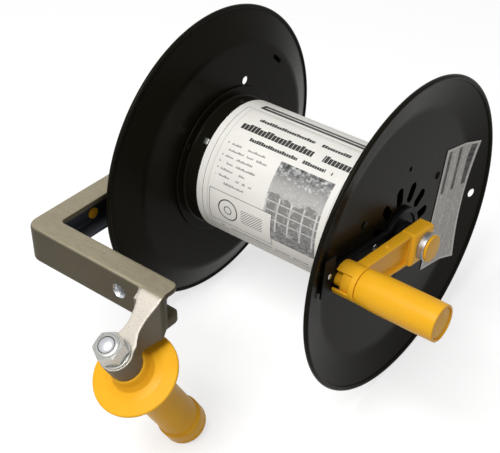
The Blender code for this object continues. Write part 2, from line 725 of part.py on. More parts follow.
def lock_nut(name, seat_x, material, parent):
    """A hexagon nut with a round collar, on a washer that lies on the face at seat_x."""
    base = seat_x - SEAT_GAP - WASHER_THICKNESS - SEAT_GAP
    top = base - NUT_HEIGHT
    bevel = (NUT_CORNER_RADIUS - NUT_ACROSS_FLATS / 2) / 2
    hexagon = [
        (base, 0),
        (base, NUT_CORNER_RADIUS - bevel),
        (base - bevel, NUT_CORNER_RADIUS),
        (top + bevel, NUT_CORNER_RADIUS),
        (top, NUT_CORNER_RADIUS - bevel),
        (top, 0),
    ]
    nut = piece(name, turned(hexagon, 6), material, parent)
    collar = rod(top - NUT_COLLAR_HEIGHT, top + bevel, NUT_COLLAR_RADIUS, ROUND_STEPS)
    combine(nut, name + "_collar", collar, parent, "UNION")
    bore = rod(top - 2 * NUT_COLLAR_HEIGHT, base + NUT_COLLAR_HEIGHT, AXLE_STUB_RADIUS + SEAT_GAP, ROUND_STEPS)
    combine(nut, name + "_bore", bore, parent, "DIFFERENCE")


def crank_collar(material, parent):
    shape = ring(COLLAR_X, AXLE_END_X, AXLE_RADIUS + SEAT_GAP, COLLAR_RADIUS, ROUND_STEPS)
    piece("crank_collar", shape, material, parent)


def axle_end_cap(material, parent):
    seat = AXLE_END_X + SEAT_GAP
    plug = AXLE_BORE_RADIUS - SEAT_GAP
    edge = CAP_THICKNESS / 4
    profile = [
        (seat - CAP_PLUG_LENGTH, 0),
        (seat - CAP_PLUG_LENGTH, plug),
        (seat, plug),
        (seat, CAP_RADIUS),
        (seat + CAP_THICKNESS - edge, CAP_RADIUS),
        (seat + CAP_THICKNESS, CAP_RADIUS - edge),
        (seat + CAP_THICKNESS, 0),
    ]
    piece("axle_end_cap", turned(profile, ROUND_STEPS), material, parent)


def arm_section(depth):
    """The channel's section as (distance in from the outer wall, height)."""
    low = ARM_TOP_HEIGHT - depth
    edge = ARM_EDGE_RADIUS
    fillet = ARM_FILLET
    return [
        (0, ARM_TOP_HEIGHT - edge),
        (edge * CORNER_POINT, ARM_TOP_HEIGHT - edge * CORNER_POINT),
        (edge, ARM_TOP_HEIGHT),
        (ARM_WIDTH, ARM_TOP_HEIGHT),
        (ARM_WIDTH, ARM_TOP_HEIGHT - ARM_TOP_THICKNESS),
        (ARM_WALL + fillet, ARM_TOP_HEIGHT - ARM_TOP_THICKNESS),
        (ARM_WALL, ARM_TOP_HEIGHT - ARM_TOP_THICKNESS - fillet),
        (ARM_WALL, low + ARM_BOTTOM_THICKNESS + fillet),
        (ARM_WALL + fillet, low + ARM_BOTTOM_THICKNESS),
        (ARM_WIDTH, low + ARM_BOTTOM_THICKNESS),
        (ARM_WIDTH, low),
        (edge, low),
        (edge * CORNER_POINT, low + edge * CORNER_POINT),
        (0, low + edge),
    ]


def arm_outline(outer, inner, depth, cut_back=0.0):
    """The section stood between a point of the outer wall and one of the open side, as (x, reach)."""
    points = []
    for inward, height in arm_section(depth):
        share = min(inward, ARM_WIDTH - cut_back) / ARM_WIDTH
        x = outer[0] + (inner[0] - outer[0]) * share
        reach = outer[1] + (inner[1] - outer[1]) * share
        points.append((x, -reach, height))
    return points


def channel_arms():
    """The channel from the axle out to the corner, round it, and along to the grip's link."""
    inner_corner = (ARM_INNER_X, ARM_REACH - ARM_WIDTH)
    depth_at_corner = (ARM_DEPTH_AT_AXLE + ARM_DEPTH_AT_GRIP) / 2
    outlines = [arm_outline((ARM_OUTER_X, 0), (ARM_INNER_X, 0), ARM_DEPTH_AT_AXLE)]
    corner_steps = 6
    for i in range(corner_steps + 1):
        out, along = at_angle(ARM_CORNER_RADIUS, 90 * i / corner_steps)
        x = ARM_OUTER_X + ARM_CORNER_RADIUS - out
        reach = ARM_REACH - ARM_CORNER_RADIUS + along
        outlines.append(arm_outline((x, reach), inner_corner, depth_at_corner))
    end_steps = 4
    for i in range(end_steps + 1):
        across, along = at_angle(ARM_END_ROUND, 90 * i / end_steps)
        x = ARM_END_X - ARM_END_ROUND + along
        cut_back = ARM_END_ROUND - across
        outlines.append(arm_outline((x, ARM_REACH), (x, ARM_REACH - ARM_WIDTH), ARM_DEPTH_AT_GRIP, cut_back))
    return loft(outlines)


def link_arm():
    """The short arm from the channel's end down to the grip's boss, narrow at its waist."""
    boss_reach, boss_height = on_grip(0, -BOSS_RADIUS)
    overlap = SEAT_GAP
    top = ARM_TOP_HEIGHT - overlap
    wall = ARM_REACH - ARM_WALL / 2
    inside = boss_reach + BOSS_RADIUS / 2
    middle = (ARM_REACH + boss_reach) / 2
    arm_low = ARM_TOP_HEIGHT - ARM_DEPTH_AT_GRIP + overlap
    waist = LINK_HALF_WIDTH_AT_WAIST
    low = boss_height - LINK_DEPTH_AT_BOSS
    sections = (
        (wall, LINK_HALF_WIDTH_AT_ARM, arm_low, top),
        (ARM_REACH + overlap, LINK_HALF_WIDTH_AT_ARM, ARM_TOP_HEIGHT - LINK_DEPTH_AT_ARM, top),
        (
            (ARM_REACH + middle) / 2,
            (LINK_HALF_WIDTH_AT_ARM + waist * 3) / 4,
            (3 * (ARM_TOP_HEIGHT - LINK_DEPTH_AT_ARM) + low) / 4,
            (3 * top + boss_height) / 4,
        ),
        (middle, waist, (ARM_TOP_HEIGHT - LINK_DEPTH_AT_ARM + low) / 2, (top + boss_height) / 2),
        (boss_reach, waist, low, boss_height),
        (inside, (waist + BOSS_RADIUS) / 2, low, boss_height - BOSS_RADIUS / 3),
    )
    outlines = []
    for reach, half, low, high in sections:
        outlines.append(
            [
                (GRIP_X - half, -reach, low),
                (GRIP_X + half, -reach, low),
                (GRIP_X + half, -reach, high),
                (GRIP_X - half, -reach, high),
            ]
        )
    return loft(outlines)


def grip_placement():
    """The matrix that takes stations along X to the grip's axis in the frame."""
    lean = Matrix.Rotation(math.radians(GRIP_LEAN), 4, "X") @ Matrix.Rotation(math.radians(90), 4, "Y")
    return Matrix.Translation((GRIP_X, -BOSS_TOP_REACH, -BOSS_TOP_DROP)) @ lean


def frame_casting(material, parent, grip_axis):
    casting = piece("frame_casting", channel_arms(), material, parent)
    boss = rod(BOSS_OUTER_X, BOSS_INNER_X, AXLE_BOSS_RADIUS, ROUND_STEPS)
    combine(casting, "axle_boss", boss, parent, "UNION")
    combine(casting, "grip_link", link_arm(), parent, "UNION")
    edge = BOSS_LENGTH / 20
    grip_boss = turned(
        [
            (0, 0),
            (0, BOSS_RADIUS - edge),
            (edge, BOSS_RADIUS),
            (BOSS_LENGTH - edge, BOSS_RADIUS),
            (BOSS_LENGTH, BOSS_RADIUS - edge),
            (BOSS_LENGTH, 0),
        ],
        ROUND_STEPS,
    )
    combine(casting, "grip_boss", grip_boss, grip_axis, "UNION")
    through = ARM_WIDTH
    holes = rod(BOSS_OUTER_X - through, BOSS_INNER_X + through, AXLE_STUB_RADIUS + SEAT_GAP, ROUND_STEPS)
    bolt_hole = rod(-through, BOSS_LENGTH + through, BOLT_HOLE_RADIUS, ROUND_STEPS)
    add_shape(holes, bolt_hole, grip_placement())
    plug_hole = rod(-through, ARM_WALL + ARM_EDGE_RADIUS, PLUG_HOLE_RADIUS, SMALL_STEPS)
    add_shape(holes, plug_hole, Matrix.Translation((ARM_OUTER_X, -PLUG_REACH, PLUG_HEIGHT)))
    outline = circle(POST_HOLE_RADIUS, SMALL_STEPS, (POST_HOLE_X, POST_HOLE_HEIGHT))
    walls = (ARM_REACH - 2 * ARM_WALL, ARM_REACH + ARM_WALL)
    add_loft(holes, [[(x, -reach, z) for x, z in outline] for reach in walls])
    combine(casting, "frame_holes", holes, parent, "DIFFERENCE")


def arm_plug(material, parent):
    shank = PLUG_HOLE_RADIUS - SEAT_GAP
    head = ARM_WALL + SEAT_GAP
    profile = [
        (ARM_EDGE_RADIUS / 2, 0),
        (ARM_EDGE_RADIUS / 2, shank),
        (head, shank),
        (head, PLUG_HEAD_RADIUS),
        (head + PLUG_HEAD_THICKNESS / 2, PLUG_HEAD_RADIUS),
        (head + PLUG_HEAD_THICKNESS, PLUG_HEAD_RADIUS * HEAD_TOP),
        (head + PLUG_HEAD_THICKNESS, 0),
    ]
    place = (ARM_OUTER_X, -PLUG_REACH, PLUG_HEIGHT)
    piece("arm_plug", turned(profile, SMALL_STEPS), material, parent, place)


def hand_grip(material, grip_axis):
    """A turned grip with a guard under the boss and a thicker ring at its end."""
    neck = GRIP_START + GRIP_NECK_LENGTH
    edge = GRIP_TOP_RADIUS / 16
    profile = [
        (GRIP_START, BOLT_HOLE_RADIUS),
        (GRIP_START, GRIP_TOP_RADIUS - edge),
        (GRIP_START + edge, GRIP_TOP_RADIUS),
        (neck, GRIP_NECK_RADIUS),
    ]
    brim = GUARD_THICKNESS / 2
    brim_steps = 4
    for i in range(brim_steps + 1):
        out, along = at_angle(brim, -90 + 180 * i / brim_steps)
        profile.append((GUARD_STATION + along, GUARD_RADIUS - brim + out))
    fillet = (GUARD_RADIUS - GRIP_RADIUS) / 3
    fillet_steps = 5
    for i in range(fillet_steps + 1):
        turn = math.radians(90 * i / fillet_steps)
        station = GUARD_STATION + GRIP_SHOULDER_LENGTH * (1 - math.cos(turn))
        profile.append((station, GRIP_RADIUS + fillet * (1 - math.sin(turn))))
    ring_start = GRIP_END - GRIP_END_LENGTH
    profile.append((ring_start - edge, GRIP_RADIUS))
    profile.append((ring_start, GRIP_END_RADIUS))
    round_steps = 3
    for i in range(round_steps + 1):
        along, out = at_angle(GRIP_END_ROUND, 90 - 90 * i / round_steps)
        profile.append((GRIP_END - GRIP_END_ROUND + along, GRIP_END_RADIUS - GRIP_END_ROUND + out))
    floor = GRIP_END - GRIP_POCKET_DEPTH
    profile += [(GRIP_END, GRIP_POCKET_RADIUS), (floor, GRIP_POCKET_RADIUS), (floor, BOLT_HOLE_RADIUS)]
    piece("hand_grip", turned(profile, ROUND_STEPS), material, grip_axis)


def grip_bolt(material, grip_axis):
    start = -NUT_STACK - BOLT_SPARE
    head = GRIP_END - GRIP_POCKET_DEPTH + SEAT_GAP
    profile = [
        (start, 0),
        (start + BOLT_SPARE / 6, BOLT_RADIUS * HEAD_SIDE),
        (start + BOLT_SPARE / 2, BOLT_RADIUS),
        (head + BOLT_HEAD_HEIGHT / 2, BOLT_RADIUS),
        (head + BOLT_HEAD_HEIGHT / 2, 0),
    ]
    bolt = piece("grip_bolt", turned(profile, ROUND_STEPS), material, grip_axis)
    hexagon = rod(head, head + BOLT_HEAD_HEIGHT, NUT_CORNER_RADIUS, 6)
    combine(bolt, "grip_bolt_head", hexagon, grip_axis, "UNION")


def arm_half_width(reach):
    """Half the crank arm's width at a reach from the axle."""
    share = reach / CRANK_RADIUS
    return CRANK_HALF_WIDTH_AT_HUB + (CRANK_HALF_WIDTH_AT_GRIP - CRANK_HALF_WIDTH_AT_HUB) * share


def crank_outline(start, end, inset=0.0, half_width=None):
    """The arm's outline between two reaches, as (y, z) with the crank along -Y."""
    first = half_width or arm_half_width(start) - inset
    last = half_width or arm_half_width(end) - inset
    return [(-start, -first), (-end, -last), (-end, last), (-start, first)]


def crank_arm(material, parent):
    """A ribbed arm with a block round its bush and a split socket for the peg's sleeve."""
    back = -CRANK_HUB_BACK_LENGTH
    inside = SEAT_GAP
    end = CRANK_RADIUS + SOCKET_BORE_RADIUS / 4
    outline = crank_outline(back + inside, end)
    arm = piece("crank_arm", loft(along_x(outline, CRANK_BACK_X, CRANK_ARM_FRONT_X)), material, parent)
    layers = []
    for x, edge in (
        (CRANK_BACK_X + inside, 0.0),
        (CRANK_HUB_FRONT_X - CRANK_HUB_EDGE, 0.0),
        (CRANK_HUB_FRONT_X, CRANK_HUB_EDGE),
    ):
        block = crank_outline(back, CRANK_HUB_FRONT_LENGTH - edge, half_width=CRANK_HUB_HALF_WIDTH - edge)
        layers.append([(x, y, z) for y, z in block])
    combine(arm, "crank_hub_block", loft(layers), parent, "UNION")
    socket_place = (0, -CRANK_RADIUS, 0)
    socket = rod(SOCKET_BACK_X, SOCKET_FRONT_X, SOCKET_RADIUS, ROUND_STEPS)
    combine(arm, "crank_socket", socket, parent, "UNION", socket_place)
    panel_start = CRANK_HUB_FRONT_LENGTH + CRANK_RAIL_WIDTH
    panel = crank_outline(panel_start, CRANK_PANEL_END, inset=CRANK_RAIL_WIDTH)
    panel_floor = CRANK_ARM_FRONT_X - CRANK_PANEL_DEPTH
    through = CRANK_HUB_THICKNESS
    hole_radius = CRANK_BUSH_RADIUS + SEAT_GAP
    holes = rod(CRANK_BACK_X - through, CRANK_HUB_FRONT_X + through, hole_radius, ROUND_STEPS)
    add_loft(holes, along_x(panel, panel_floor, CRANK_HUB_FRONT_X))
    combine(arm, "crank_holes", holes, parent, "DIFFERENCE")
    socket_bore = rod(SOCKET_BACK_X - through, SOCKET_FRONT_X + through, SOCKET_BORE_RADIUS, ROUND_STEPS)
    bore = combine(arm, "crank_socket_bore", socket_bore, parent, "DIFFERENCE", socket_place)
    window = [(0.0, 0.0)]
    for i in range(4):
        angle = SOCKET_WINDOW_FROM + (SOCKET_WINDOW_TO - SOCKET_WINDOW_FROM) * i / 3
        out, above = at_angle(2 * SOCKET_RADIUS, angle)
        window.append((-out, above))
    window_start = SOCKET_BACK_X - through / 2
    window_mesh = loft(along_x(window, window_start, SOCKET_BACK_X + SOCKET_WINDOW_LENGTH))
    combine(bore, "crank_socket_window", window_mesh, parent, "UNION", socket_place)


def crank_bush(material, parent):
    shape = ring(CRANK_BACK_X, CRANK_HUB_FRONT_X, BUSH_BORE_RADIUS, CRANK_BUSH_RADIUS, ROUND_STEPS)
    piece("crank_bush", shape, material, parent)


def drive_peg(material, parent):
    """The peg, the sleeve that the socket holds and the spindle inside the grip, in one piece."""
    tip = SLEEVE_X - PEG_LENGTH
    bevel = PEG_RADIUS / 4
    hole = SPINDLE_END_X - SCREW_DEPTH - SEAT_GAP
    profile = [
        (tip, 0),
        (tip, PEG_RADIUS - bevel),
        (tip + bevel, PEG_RADIUS),
        (SLEEVE_X, PEG_RADIUS),
        (SLEEVE_X, SLEEVE_RADIUS),
        (SOCKET_FRONT_X, SLEEVE_RADIUS),
        (SOCKET_FRONT_X, SPINDLE_RADIUS),
        (SPINDLE_END_X, SPINDLE_RADIUS),
        (SPINDLE_END_X, SCREW_HOLE_RADIUS),
        (hole, SCREW_HOLE_RADIUS),
        (hole, 0),
    ]
    piece("drive_peg", turned(profile, ROUND_STEPS), material, parent)


def grip_washer(material, parent):
    start = SPINDLE_END_X + SEAT_GAP
    shape = ring(start, start + GRIP_WASHER_THICKNESS, SCREW_HOLE_RADIUS, GRIP_WASHER_RADIUS, ROUND_STEPS)
    piece("grip_washer", shape, material, parent)


def grip_screw(material, parent):
    seat = SPINDLE_END_X + SEAT_GAP + GRIP_WASHER_THICKNESS + SEAT_GAP
    profile = [
        (SPINDLE_END_X - SCREW_DEPTH, 0),
        (SPINDLE_END_X - SCREW_DEPTH, SCREW_RADIUS),
        (seat, SCREW_RADIUS),
        (seat, SCREW_HEAD_RADIUS),
        (seat + SCREW_HEAD_HEIGHT * HEAD_SIDE, SCREW_HEAD_RADIUS),
        (seat + SCREW_HEAD_HEIGHT, SCREW_HEAD_RADIUS * HEAD_TOP),
        (seat + SCREW_HEAD_HEIGHT, 0),
    ]
    piece("grip_screw", turned(profile, SMALL_STEPS), material, parent)


def crank_grip(material, parent):
    """A hollow grip that turns on the spindle, with a pocket for the washer and screw."""
    pocket = CRANK_GRIP_RADIUS - CRANK_GRIP_WALL
    edge = CRANK_GRIP_RIM
    profile = [
        (CRANK_GRIP_X, SPINDLE_RADIUS + RUNNING_GAP),
        (CRANK_GRIP_X, CRANK_GRIP_NECK_RADIUS - edge),
        (CRANK_GRIP_X + edge, CRANK_GRIP_NECK_RADIUS),
        (CRANK_GRIP_X + CRANK_GRIP_LENGTH / 4, CRANK_GRIP_RADIUS),
        (CRANK_GRIP_END_X - CRANK_GRIP_LENGTH / 4, CRANK_GRIP_RADIUS),
        (CRANK_GRIP_END_X - edge, CRANK_GRIP_RADIUS - edge / 3),
        (CRANK_GRIP_END_X, CRANK_GRIP_RADIUS - edge),
        (CRANK_GRIP_END_X, pocket),
        (SPINDLE_END_X, pocket),
        (SPINDLE_END_X, SPINDLE_RADIUS + RUNNING_GAP),
    ]
    piece("crank_grip", turned(profile, ROUND_STEPS), material, parent)


def grip_end_cap(material, parent):
    radius = CRANK_GRIP_RADIUS - CRANK_GRIP_WALL - SEAT_GAP
    end = CRANK_GRIP_END_X - CRANK_GRIP_RIM
    piece("grip_end_cap", rod(end - GRIP_CAP_THICKNESS, end, radius, ROUND_STEPS), material, parent)


def main():
    clear_scene()
    black_paint = look("black_enamel", (0.012, 0.012, 0.013), 0.18)
    black_plastic = look("black_plastic", (0.015, 0.015, 0.016), 0.42)
    paper = look("label_paper", (0.82, 0.80, 0.74), 0.45)
    sticker_film = look("sticker_film", (0.62, 0.63, 0.64), 0.35)
    cast_metal = look("cast_aluminium", (0.47, 0.44, 0.39), 0.45, 0.9)
    steel = look("zinc_plated_steel", (0.66, 0.66, 0.64), 0.28, 1.0)
    yellow = look("yellow_plastic", (0.90, 0.47, 0.035), 0.40)
    nylon = look("pale_nylon", (0.78, 0.76, 0.70), 0.50)

    origin = (
        -(AXLE_START_X + CRANK_GRIP_END_X) / 2,
        (frame_reach() - FLANGE_RADIUS) / 2,
        FLANGE_RADIUS,
    )
    reel = holder("reel", location=origin)
    frame = holder("frame", reel, rotation=(-frame_tilt(), 0, 0))
    placement = grip_placement()
    grip_axis = holder("grip_axis", frame, placement.to_translation(), placement.to_euler())
    cartridge = holder("cartridge", reel)
    drive_direction = holder("drive_direction", cartridge, rotation=crank_turn())
    crank = holder("crank", reel, rotation=crank_turn())
    peg_axis = holder("peg_axis", crank, (0, -CRANK_RADIUS, 0))

    frame_casting(cast_metal, frame, grip_axis)
    axle(steel, frame)
    washer("axle_washer", BOSS_OUTER_X, AXLE_STUB_RADIUS + SEAT_GAP, steel, frame)
    lock_nut("axle_nut", BOSS_OUTER_X, steel, frame)
    crank_collar(steel, frame)
    axle_end_cap(yellow, frame)
    arm_plug(yellow, frame)
    hand_grip(yellow, grip_axis)
    grip_bolt(steel, grip_axis)
    washer("bolt_washer", 0, BOLT_HOLE_RADIUS, steel, grip_axis)
    lock_nut("bolt_nut", 0, steel, grip_axis)

    drum_core(black_paint, cartridge)
    drum_label(paper, cartridge)
    wire_tab(steel, cartridge)
    left_flange(black_paint, cartridge)
    right_flange(black_paint, cartridge)
    rivets(steel, cartridge)
    hub_bush("left_hub_bush", LEFT_FACE_X, -1, SHOULDER_END_X + RUNNING_GAP, black_plastic, cartridge)
    hub_bush("right_hub_bush", RIGHT_FACE_X, 1, CRANK_BACK_X - RUNNING_GAP, black_plastic, cartridge)
    drive_bar(black_plastic, drive_direction)
    drive_screw("inner_drive_screw", INNER_SCREW_REACH, DRIVE_BAR_THICKNESS, steel, drive_direction)
    drive_screw("outer_drive_screw", OUTER_SCREW_REACH, DRIVE_BLOCK_HEIGHT, steel, drive_direction)
    flange_sticker(sticker_film, cartridge)

    crank_arm(yellow, crank)
    crank_bush(nylon, crank)
    drive_peg(steel, peg_axis)
    grip_washer(steel, peg_axis)
    grip_screw(steel, peg_axis)
    crank_grip(yellow, peg_axis)
    grip_end_cap(yellow, peg_axis)


main()
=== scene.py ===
import math

import bmesh
import bpy
from mathutils import Matrix, Vector


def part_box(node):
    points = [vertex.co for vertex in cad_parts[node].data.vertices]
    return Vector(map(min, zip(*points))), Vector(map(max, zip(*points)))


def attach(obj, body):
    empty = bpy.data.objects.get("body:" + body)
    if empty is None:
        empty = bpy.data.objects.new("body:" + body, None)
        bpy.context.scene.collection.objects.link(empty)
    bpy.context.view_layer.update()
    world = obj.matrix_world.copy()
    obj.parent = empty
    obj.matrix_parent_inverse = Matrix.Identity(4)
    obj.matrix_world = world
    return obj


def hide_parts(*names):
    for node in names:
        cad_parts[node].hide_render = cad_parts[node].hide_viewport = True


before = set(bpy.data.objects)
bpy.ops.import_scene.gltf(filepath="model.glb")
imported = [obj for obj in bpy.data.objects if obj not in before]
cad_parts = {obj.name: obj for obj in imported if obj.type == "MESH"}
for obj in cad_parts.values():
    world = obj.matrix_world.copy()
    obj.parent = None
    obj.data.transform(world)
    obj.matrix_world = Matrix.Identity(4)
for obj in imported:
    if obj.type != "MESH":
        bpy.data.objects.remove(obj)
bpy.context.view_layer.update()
print("frame loaded")

class Values(dict):
    # A dictionary whose values are read as attributes
    __getattr__ = dict.__getitem__


# Where the reel's parts stand, in metres and degrees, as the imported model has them
reel = Values(
    frameTilt=2.245,
    crankTurn=-10.1,
    crankRadius=0.0806,
    gripX=0.008,
    gripReach=0.2221,
    gripDrop=0.0091,
    gripLean=28.7,
    stickerLean=15.1,
    stickerCentre=(0.0754, -0.0174),
    seatGap=0.0003,
)
gap = reel.seatGap
sliver = 0.0003  # keeps the faces of forms that are joined from coinciding
labelLow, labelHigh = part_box("drum_label")
axle = (labelLow + labelHigh) / 2  # the drum's middle, on the axle's line
onReel = Matrix.Translation(axle)
onFrame = onReel @ Matrix.Rotation(math.radians(-reel.frameTilt), 4, "X")
onCrank = onReel @ Matrix.Rotation(math.radians(reel.crankTurn), 4, "X")
onPeg = onCrank @ Matrix.Translation((0, -reel.crankRadius, 0))
onGrip = (
    onFrame
    @ Matrix.Translation((reel.gripX, -reel.gripReach, -reel.gripDrop))
    @ Matrix.Rotation(math.radians(reel.gripLean), 4, "X")
    @ Matrix.Rotation(math.radians(90), 4, "Y")
)
upright = Matrix.Identity(4)


def using(operation):
    return lambda self, other: self.maths(operation, other)


class Wire:
    # A socket; sums and comparisons on it add Math nodes to its board
    def __init__(self, board, socket):
        self.board = board
        self.socket = socket

    def maths(self, operation, *others):
        return self.board.maths(operation, self, *others)

    def __rsub__(self, other):
        return self.board.maths("SUBTRACT", other, self)

    __add__ = __radd__ = using("ADD")
    __sub__ = using("SUBTRACT")
    __mul__ = using("MULTIPLY")
    __truediv__ = using("DIVIDE")
    __gt__ = using("GREATER_THAN")
    __lt__ = using("LESS_THAN")


class Board:
    # A node tree that nodes are put on
    def __init__(self, tree):
        self.tree = tree

    def put(self, kind, settings=None, sockets=None, output=0):
        node = self.tree.nodes.new(kind)
        for name, value in (settings or {}).items():
            if name == "stops":
                self.setStops(node.color_ramp, value)
            else:
                setattr(node, name, value)
        for name, value in (sockets or {}).items():
            if isinstance(value, Wire):
                self.tree.links.new(value.socket, node.inputs[name])
            else:
                node.inputs[name].default_value = value
        return Wire(self, node.outputs[output]) if len(node.outputs) else node

    def setStops(self, ramp, stops):
        while len(ramp.elements) < len(stops):
            ramp.elements.new(0.5)
        for element, (position, value) in zip(ramp.elements, stops):
            element.position = position
            element.color = (value, value, value, 1)

    def maths(self, operation, *values):
        return self.put("ShaderNodeMath", {"operation": operation}, dict(enumerate(values)))

    def mix(self, factor, first, second):
        return self.put("ShaderNodeMix", {"data_type": "RGBA"}, {0: factor, 6: first, 7: second}, 2)

    def place(self):
        return self.put("ShaderNodeTexCoord", output="Object")

    def parts(self, vector):
        split = self.tree.nodes.new("ShaderNodeSeparateXYZ")
        self.tree.links.new(vector.socket, split.inputs[0])
        return [Wire(self, socket) for socket in split.outputs]

    def joined(self, x, y, z):
        return self.put("ShaderNodeCombineXYZ", None, {0: x, 1: y, 2: z})

    def stretched(self, vector, scale):
        return self.put("ShaderNodeVectorMath", {"operation": "MULTIPLY"}, {0: vector, 1: scale})

    def noise(self, vector, scale, detail=2.0, rough=0.5):
        sockets = {"Vector": vector, "Scale": scale, "Detail": detail, "Roughness": rough}
        return self.put("ShaderNodeTexNoise", {"noise_dimensions": "3D"}, sockets)

    def whiteNoise(self, kind, **sockets):
        return self.put("ShaderNodeTexWhiteNoise", {"noise_dimensions": kind}, sockets)

    def ramp(self, factor, *stops):
        return self.put("ShaderNodeValToRGB", {"stops": stops}, {"Fac": factor})

    def scaled(self, value, low, high, first, last):
        sockets = {0: value, 1: low, 2: high, 3: first, 4: last}
        return self.put("ShaderNodeMapRange", {"interpolation_type": "SMOOTHSTEP"}, sockets)

    def sheen(self, cloud, v):
        # Roughness that a cloud takes from the finish's gloss to its matt
        return self.scaled(cloud, 0.3, 0.7, v.gloss, v.matt)

    def bump(self, height, strength, distance):
        sockets = {"Strength": strength, "Distance": distance, "Height": height}
        return self.put("ShaderNodeBump", None, sockets)


def newFinish(name, **constants):
    # The board of a new material with a plain shader, and the place on the object
    material = bpy.data.materials.new(name)
    material.use_nodes = True
    board = Board(material.node_tree)
    board.material, board.shader = material, material.node_tree.nodes["Principled BSDF"].inputs
    for socket, value in constants.items():
        board.shader[socket.replace("_", " ")].default_value = value
    return board, board.place()


def feed(board, **wires):
    for socket, wire in wires.items():
        board.tree.links.new(wire.socket, board.shader[socket.replace("_", " ")])
    return board.material


def moulded(name, v):
    # Moulded plastic: faint mottling, a soft grain and a few rubbed places
    board, place = newFinish(name, Specular_IOR_Level=v.specular)
    mottle = board.noise(place, v.mottleScale, 4)
    rubbed = board.ramp(board.noise(place, v.rubScale, 6, 0.65), (0.52, 0), (0.75, 1))
    colour = board.mix(mottle, v.dark, v.light)
    colour = board.mix(rubbed * v.rubStrength, colour, v.rubColour)
    grain = board.noise(place, v.grainScale, 3)
    rough = board.sheen(mottle, v)
    return feed(board, Base_Color=colour, Roughness=rough, Normal=board.bump(grain + mottle * 2, v.bump, v.depth))


def enamelled(v):
    # Baked enamel on sheet steel: orange peel, cloudy gloss, light dust, and along the rim more dust with a
    # painted brownish reflection
    board, place = newFinish("blackEnamel", Specular_IOR_Level=v.specular, Specular_Tint=v.warmth)
    cloud = board.noise(place, v.cloudScale, 4, 0.55)
    peel = board.noise(place, v.peelScale, 2)
    fine = board.ramp(board.noise(place, v.dustScale, 5, 0.7), (0.56, 0), (0.82, 1))
    x, y, z = board.parts(place)
    out = board.maths("SQRT", (y - axle.y) * (y - axle.y) + (z - axle.z) * (z - axle.z))
    rim = board.scaled(out, v.rimFrom, v.rimTo, 0, 1)
    colour = board.mix(cloud, v.dark, v.light)
    # Dust all over, and towards the rim a painted brownish reflection as well
    colour = board.mix(fine * (0.25 + rim * 0.75) * v.dustStrength, colour, v.dustColour)
    rough = board.sheen(cloud, v) + rim * fine * 0.2
    return feed(board, Base_Color=colour, Roughness=rough, Normal=board.bump(peel, v.bump, v.depth))


def castMetal(v):
    # Sand-cast aluminium: dull pitted sides, upward faces painted lighter as lit from above, a paler link whose
    # top is painted lighter still, and painted shade in the hollows
    board, place = newFinish("castAluminium", Specular_IOR_Level=0.25)
    facing = board.parts(board.put("ShaderNodeTexCoord", output="Normal"))
    x, y, z = board.parts(place)
    tilt = math.radians(reel.frameTilt)
    reach = (z - axle.z) * math.sin(tilt) - (y - axle.y) * math.cos(tilt)
    height = (y - axle.y) * math.sin(tilt) + (z - axle.z) * math.cos(tilt)
    grain = board.noise(place, v.grainScale, 5, 0.7)
    pits = board.ramp(board.noise(place, v.pitScale, 3), (0.3, 0), (0.42, 1))
    cloud = board.noise(place, v.cloudScale, 5, 0.6)
    streak = board.noise(board.stretched(place, v.streaks), v.streakScale, 3, 0.6)
    # Painted light: faces turned up, above the arms' upper edge, get a lighter colour as if lit from above, with
    # more gloss and metal
    litTop = board.scaled(facing[2] + (cloud - 0.5) * 0.3, *v.groundFacing, 0, 1) * (height > v.groundAbove)
    # Painted light: the link's upward faces are painted much lighter, as lit from above
    litLinkTop = board.scaled(reach, *v.linkTop, 0, 1) * board.scaled(facing[2], *v.linkFacing, 0, 1)
    # Painted shade inside the channel, apart from the lug, where the recess keeps light out
    hollow = within(reach, height, *v.hollowBox) * (x > axle.x + v.hollowFrom)
    hollow = hollow * (1 - (x > axle.x + v.lugFrom) * (height < v.lugTop))
    colour = board.mix(cloud, v.dark, v.light)
    colour = board.mix(litTop, colour, board.mix(streak, v.groundDark, v.groundLight))
    colour = board.mix(board.scaled(reach, *v.linkStart, 0, 0.5), colour, v.linkSide)
    colour = board.mix(litLinkTop, colour, v.link)
    colour = board.mix((1 - pits) * v.pitStrength, colour, v.pitColour)
    colour = board.mix(hollow * v.hollowStrength, colour, v.hollow)
    rough = board.sheen(grain, v) - litTop * v.groundGloss
    height = grain + pits * 0.6 + streak * litTop
    feed(board, Base_Color=colour, Roughness=rough, Metallic=v.metal + litTop * v.groundMetal)
    return feed(board, Normal=board.bump(height, v.bump, v.depth))


def platedSteel(name, v):
    # Bright zinc plate: faint clouding, rolling lines and duller spots
    board, place = newFinish(name, Metallic=1.0)
    cloud = board.noise(place, v.cloudScale, 4, 0.6)
    lines = board.noise(board.stretched(place, v.lines), v.lineScale, 2)
    colour = board.mix(cloud, v.dark, v.light)
    rough = board.sheen(cloud, v)
    return feed(board, Base_Color=colour, Roughness=rough, Normal=board.bump(lines, v.bump, v.depth))


def within(u, v, left, right, low, high):
    return (u > left) * (u < right) * (v > low) * (v < high)


def edged(u, v, left, right, low, high, line):
    inside = within(u, v, left + line, right - line, low + line, high - line)
    return within(u, v, left, right, low, high) * (1 - inside)


def printRows(board, u, v, box, rows, dash, part, thin, gaps, ragged, seed):
    # Rows of uneven dashes that stand where print would be
    left, right, low, high = box
    along = (v - low) / ((high - low) / rows)
    row = along.maths("FLOOR")
    inRow = along.maths("FRACT")
    cell = ((u + row * 7.3) / dash).maths("FLOOR")
    chance = board.whiteNoise("2D", Vector=board.joined(cell, row, 0))
    uneven = board.whiteNoise("1D", W=row + seed)
    stroke = (u + row * 3.1) / part
    lowStroke = board.whiteNoise("2D", Vector=board.joined(stroke.maths("FLOOR"), row, 1))
    bar = (inRow > (lowStroke > 0.4) * 0.14 + thin) * (inRow < 1 - thin) * (chance > gaps)
    bar = bar * (stroke.maths("FRACT") > 0.12)
    return bar * within(u, v, left, right, low, high) * (u + uneven * ragged < right)


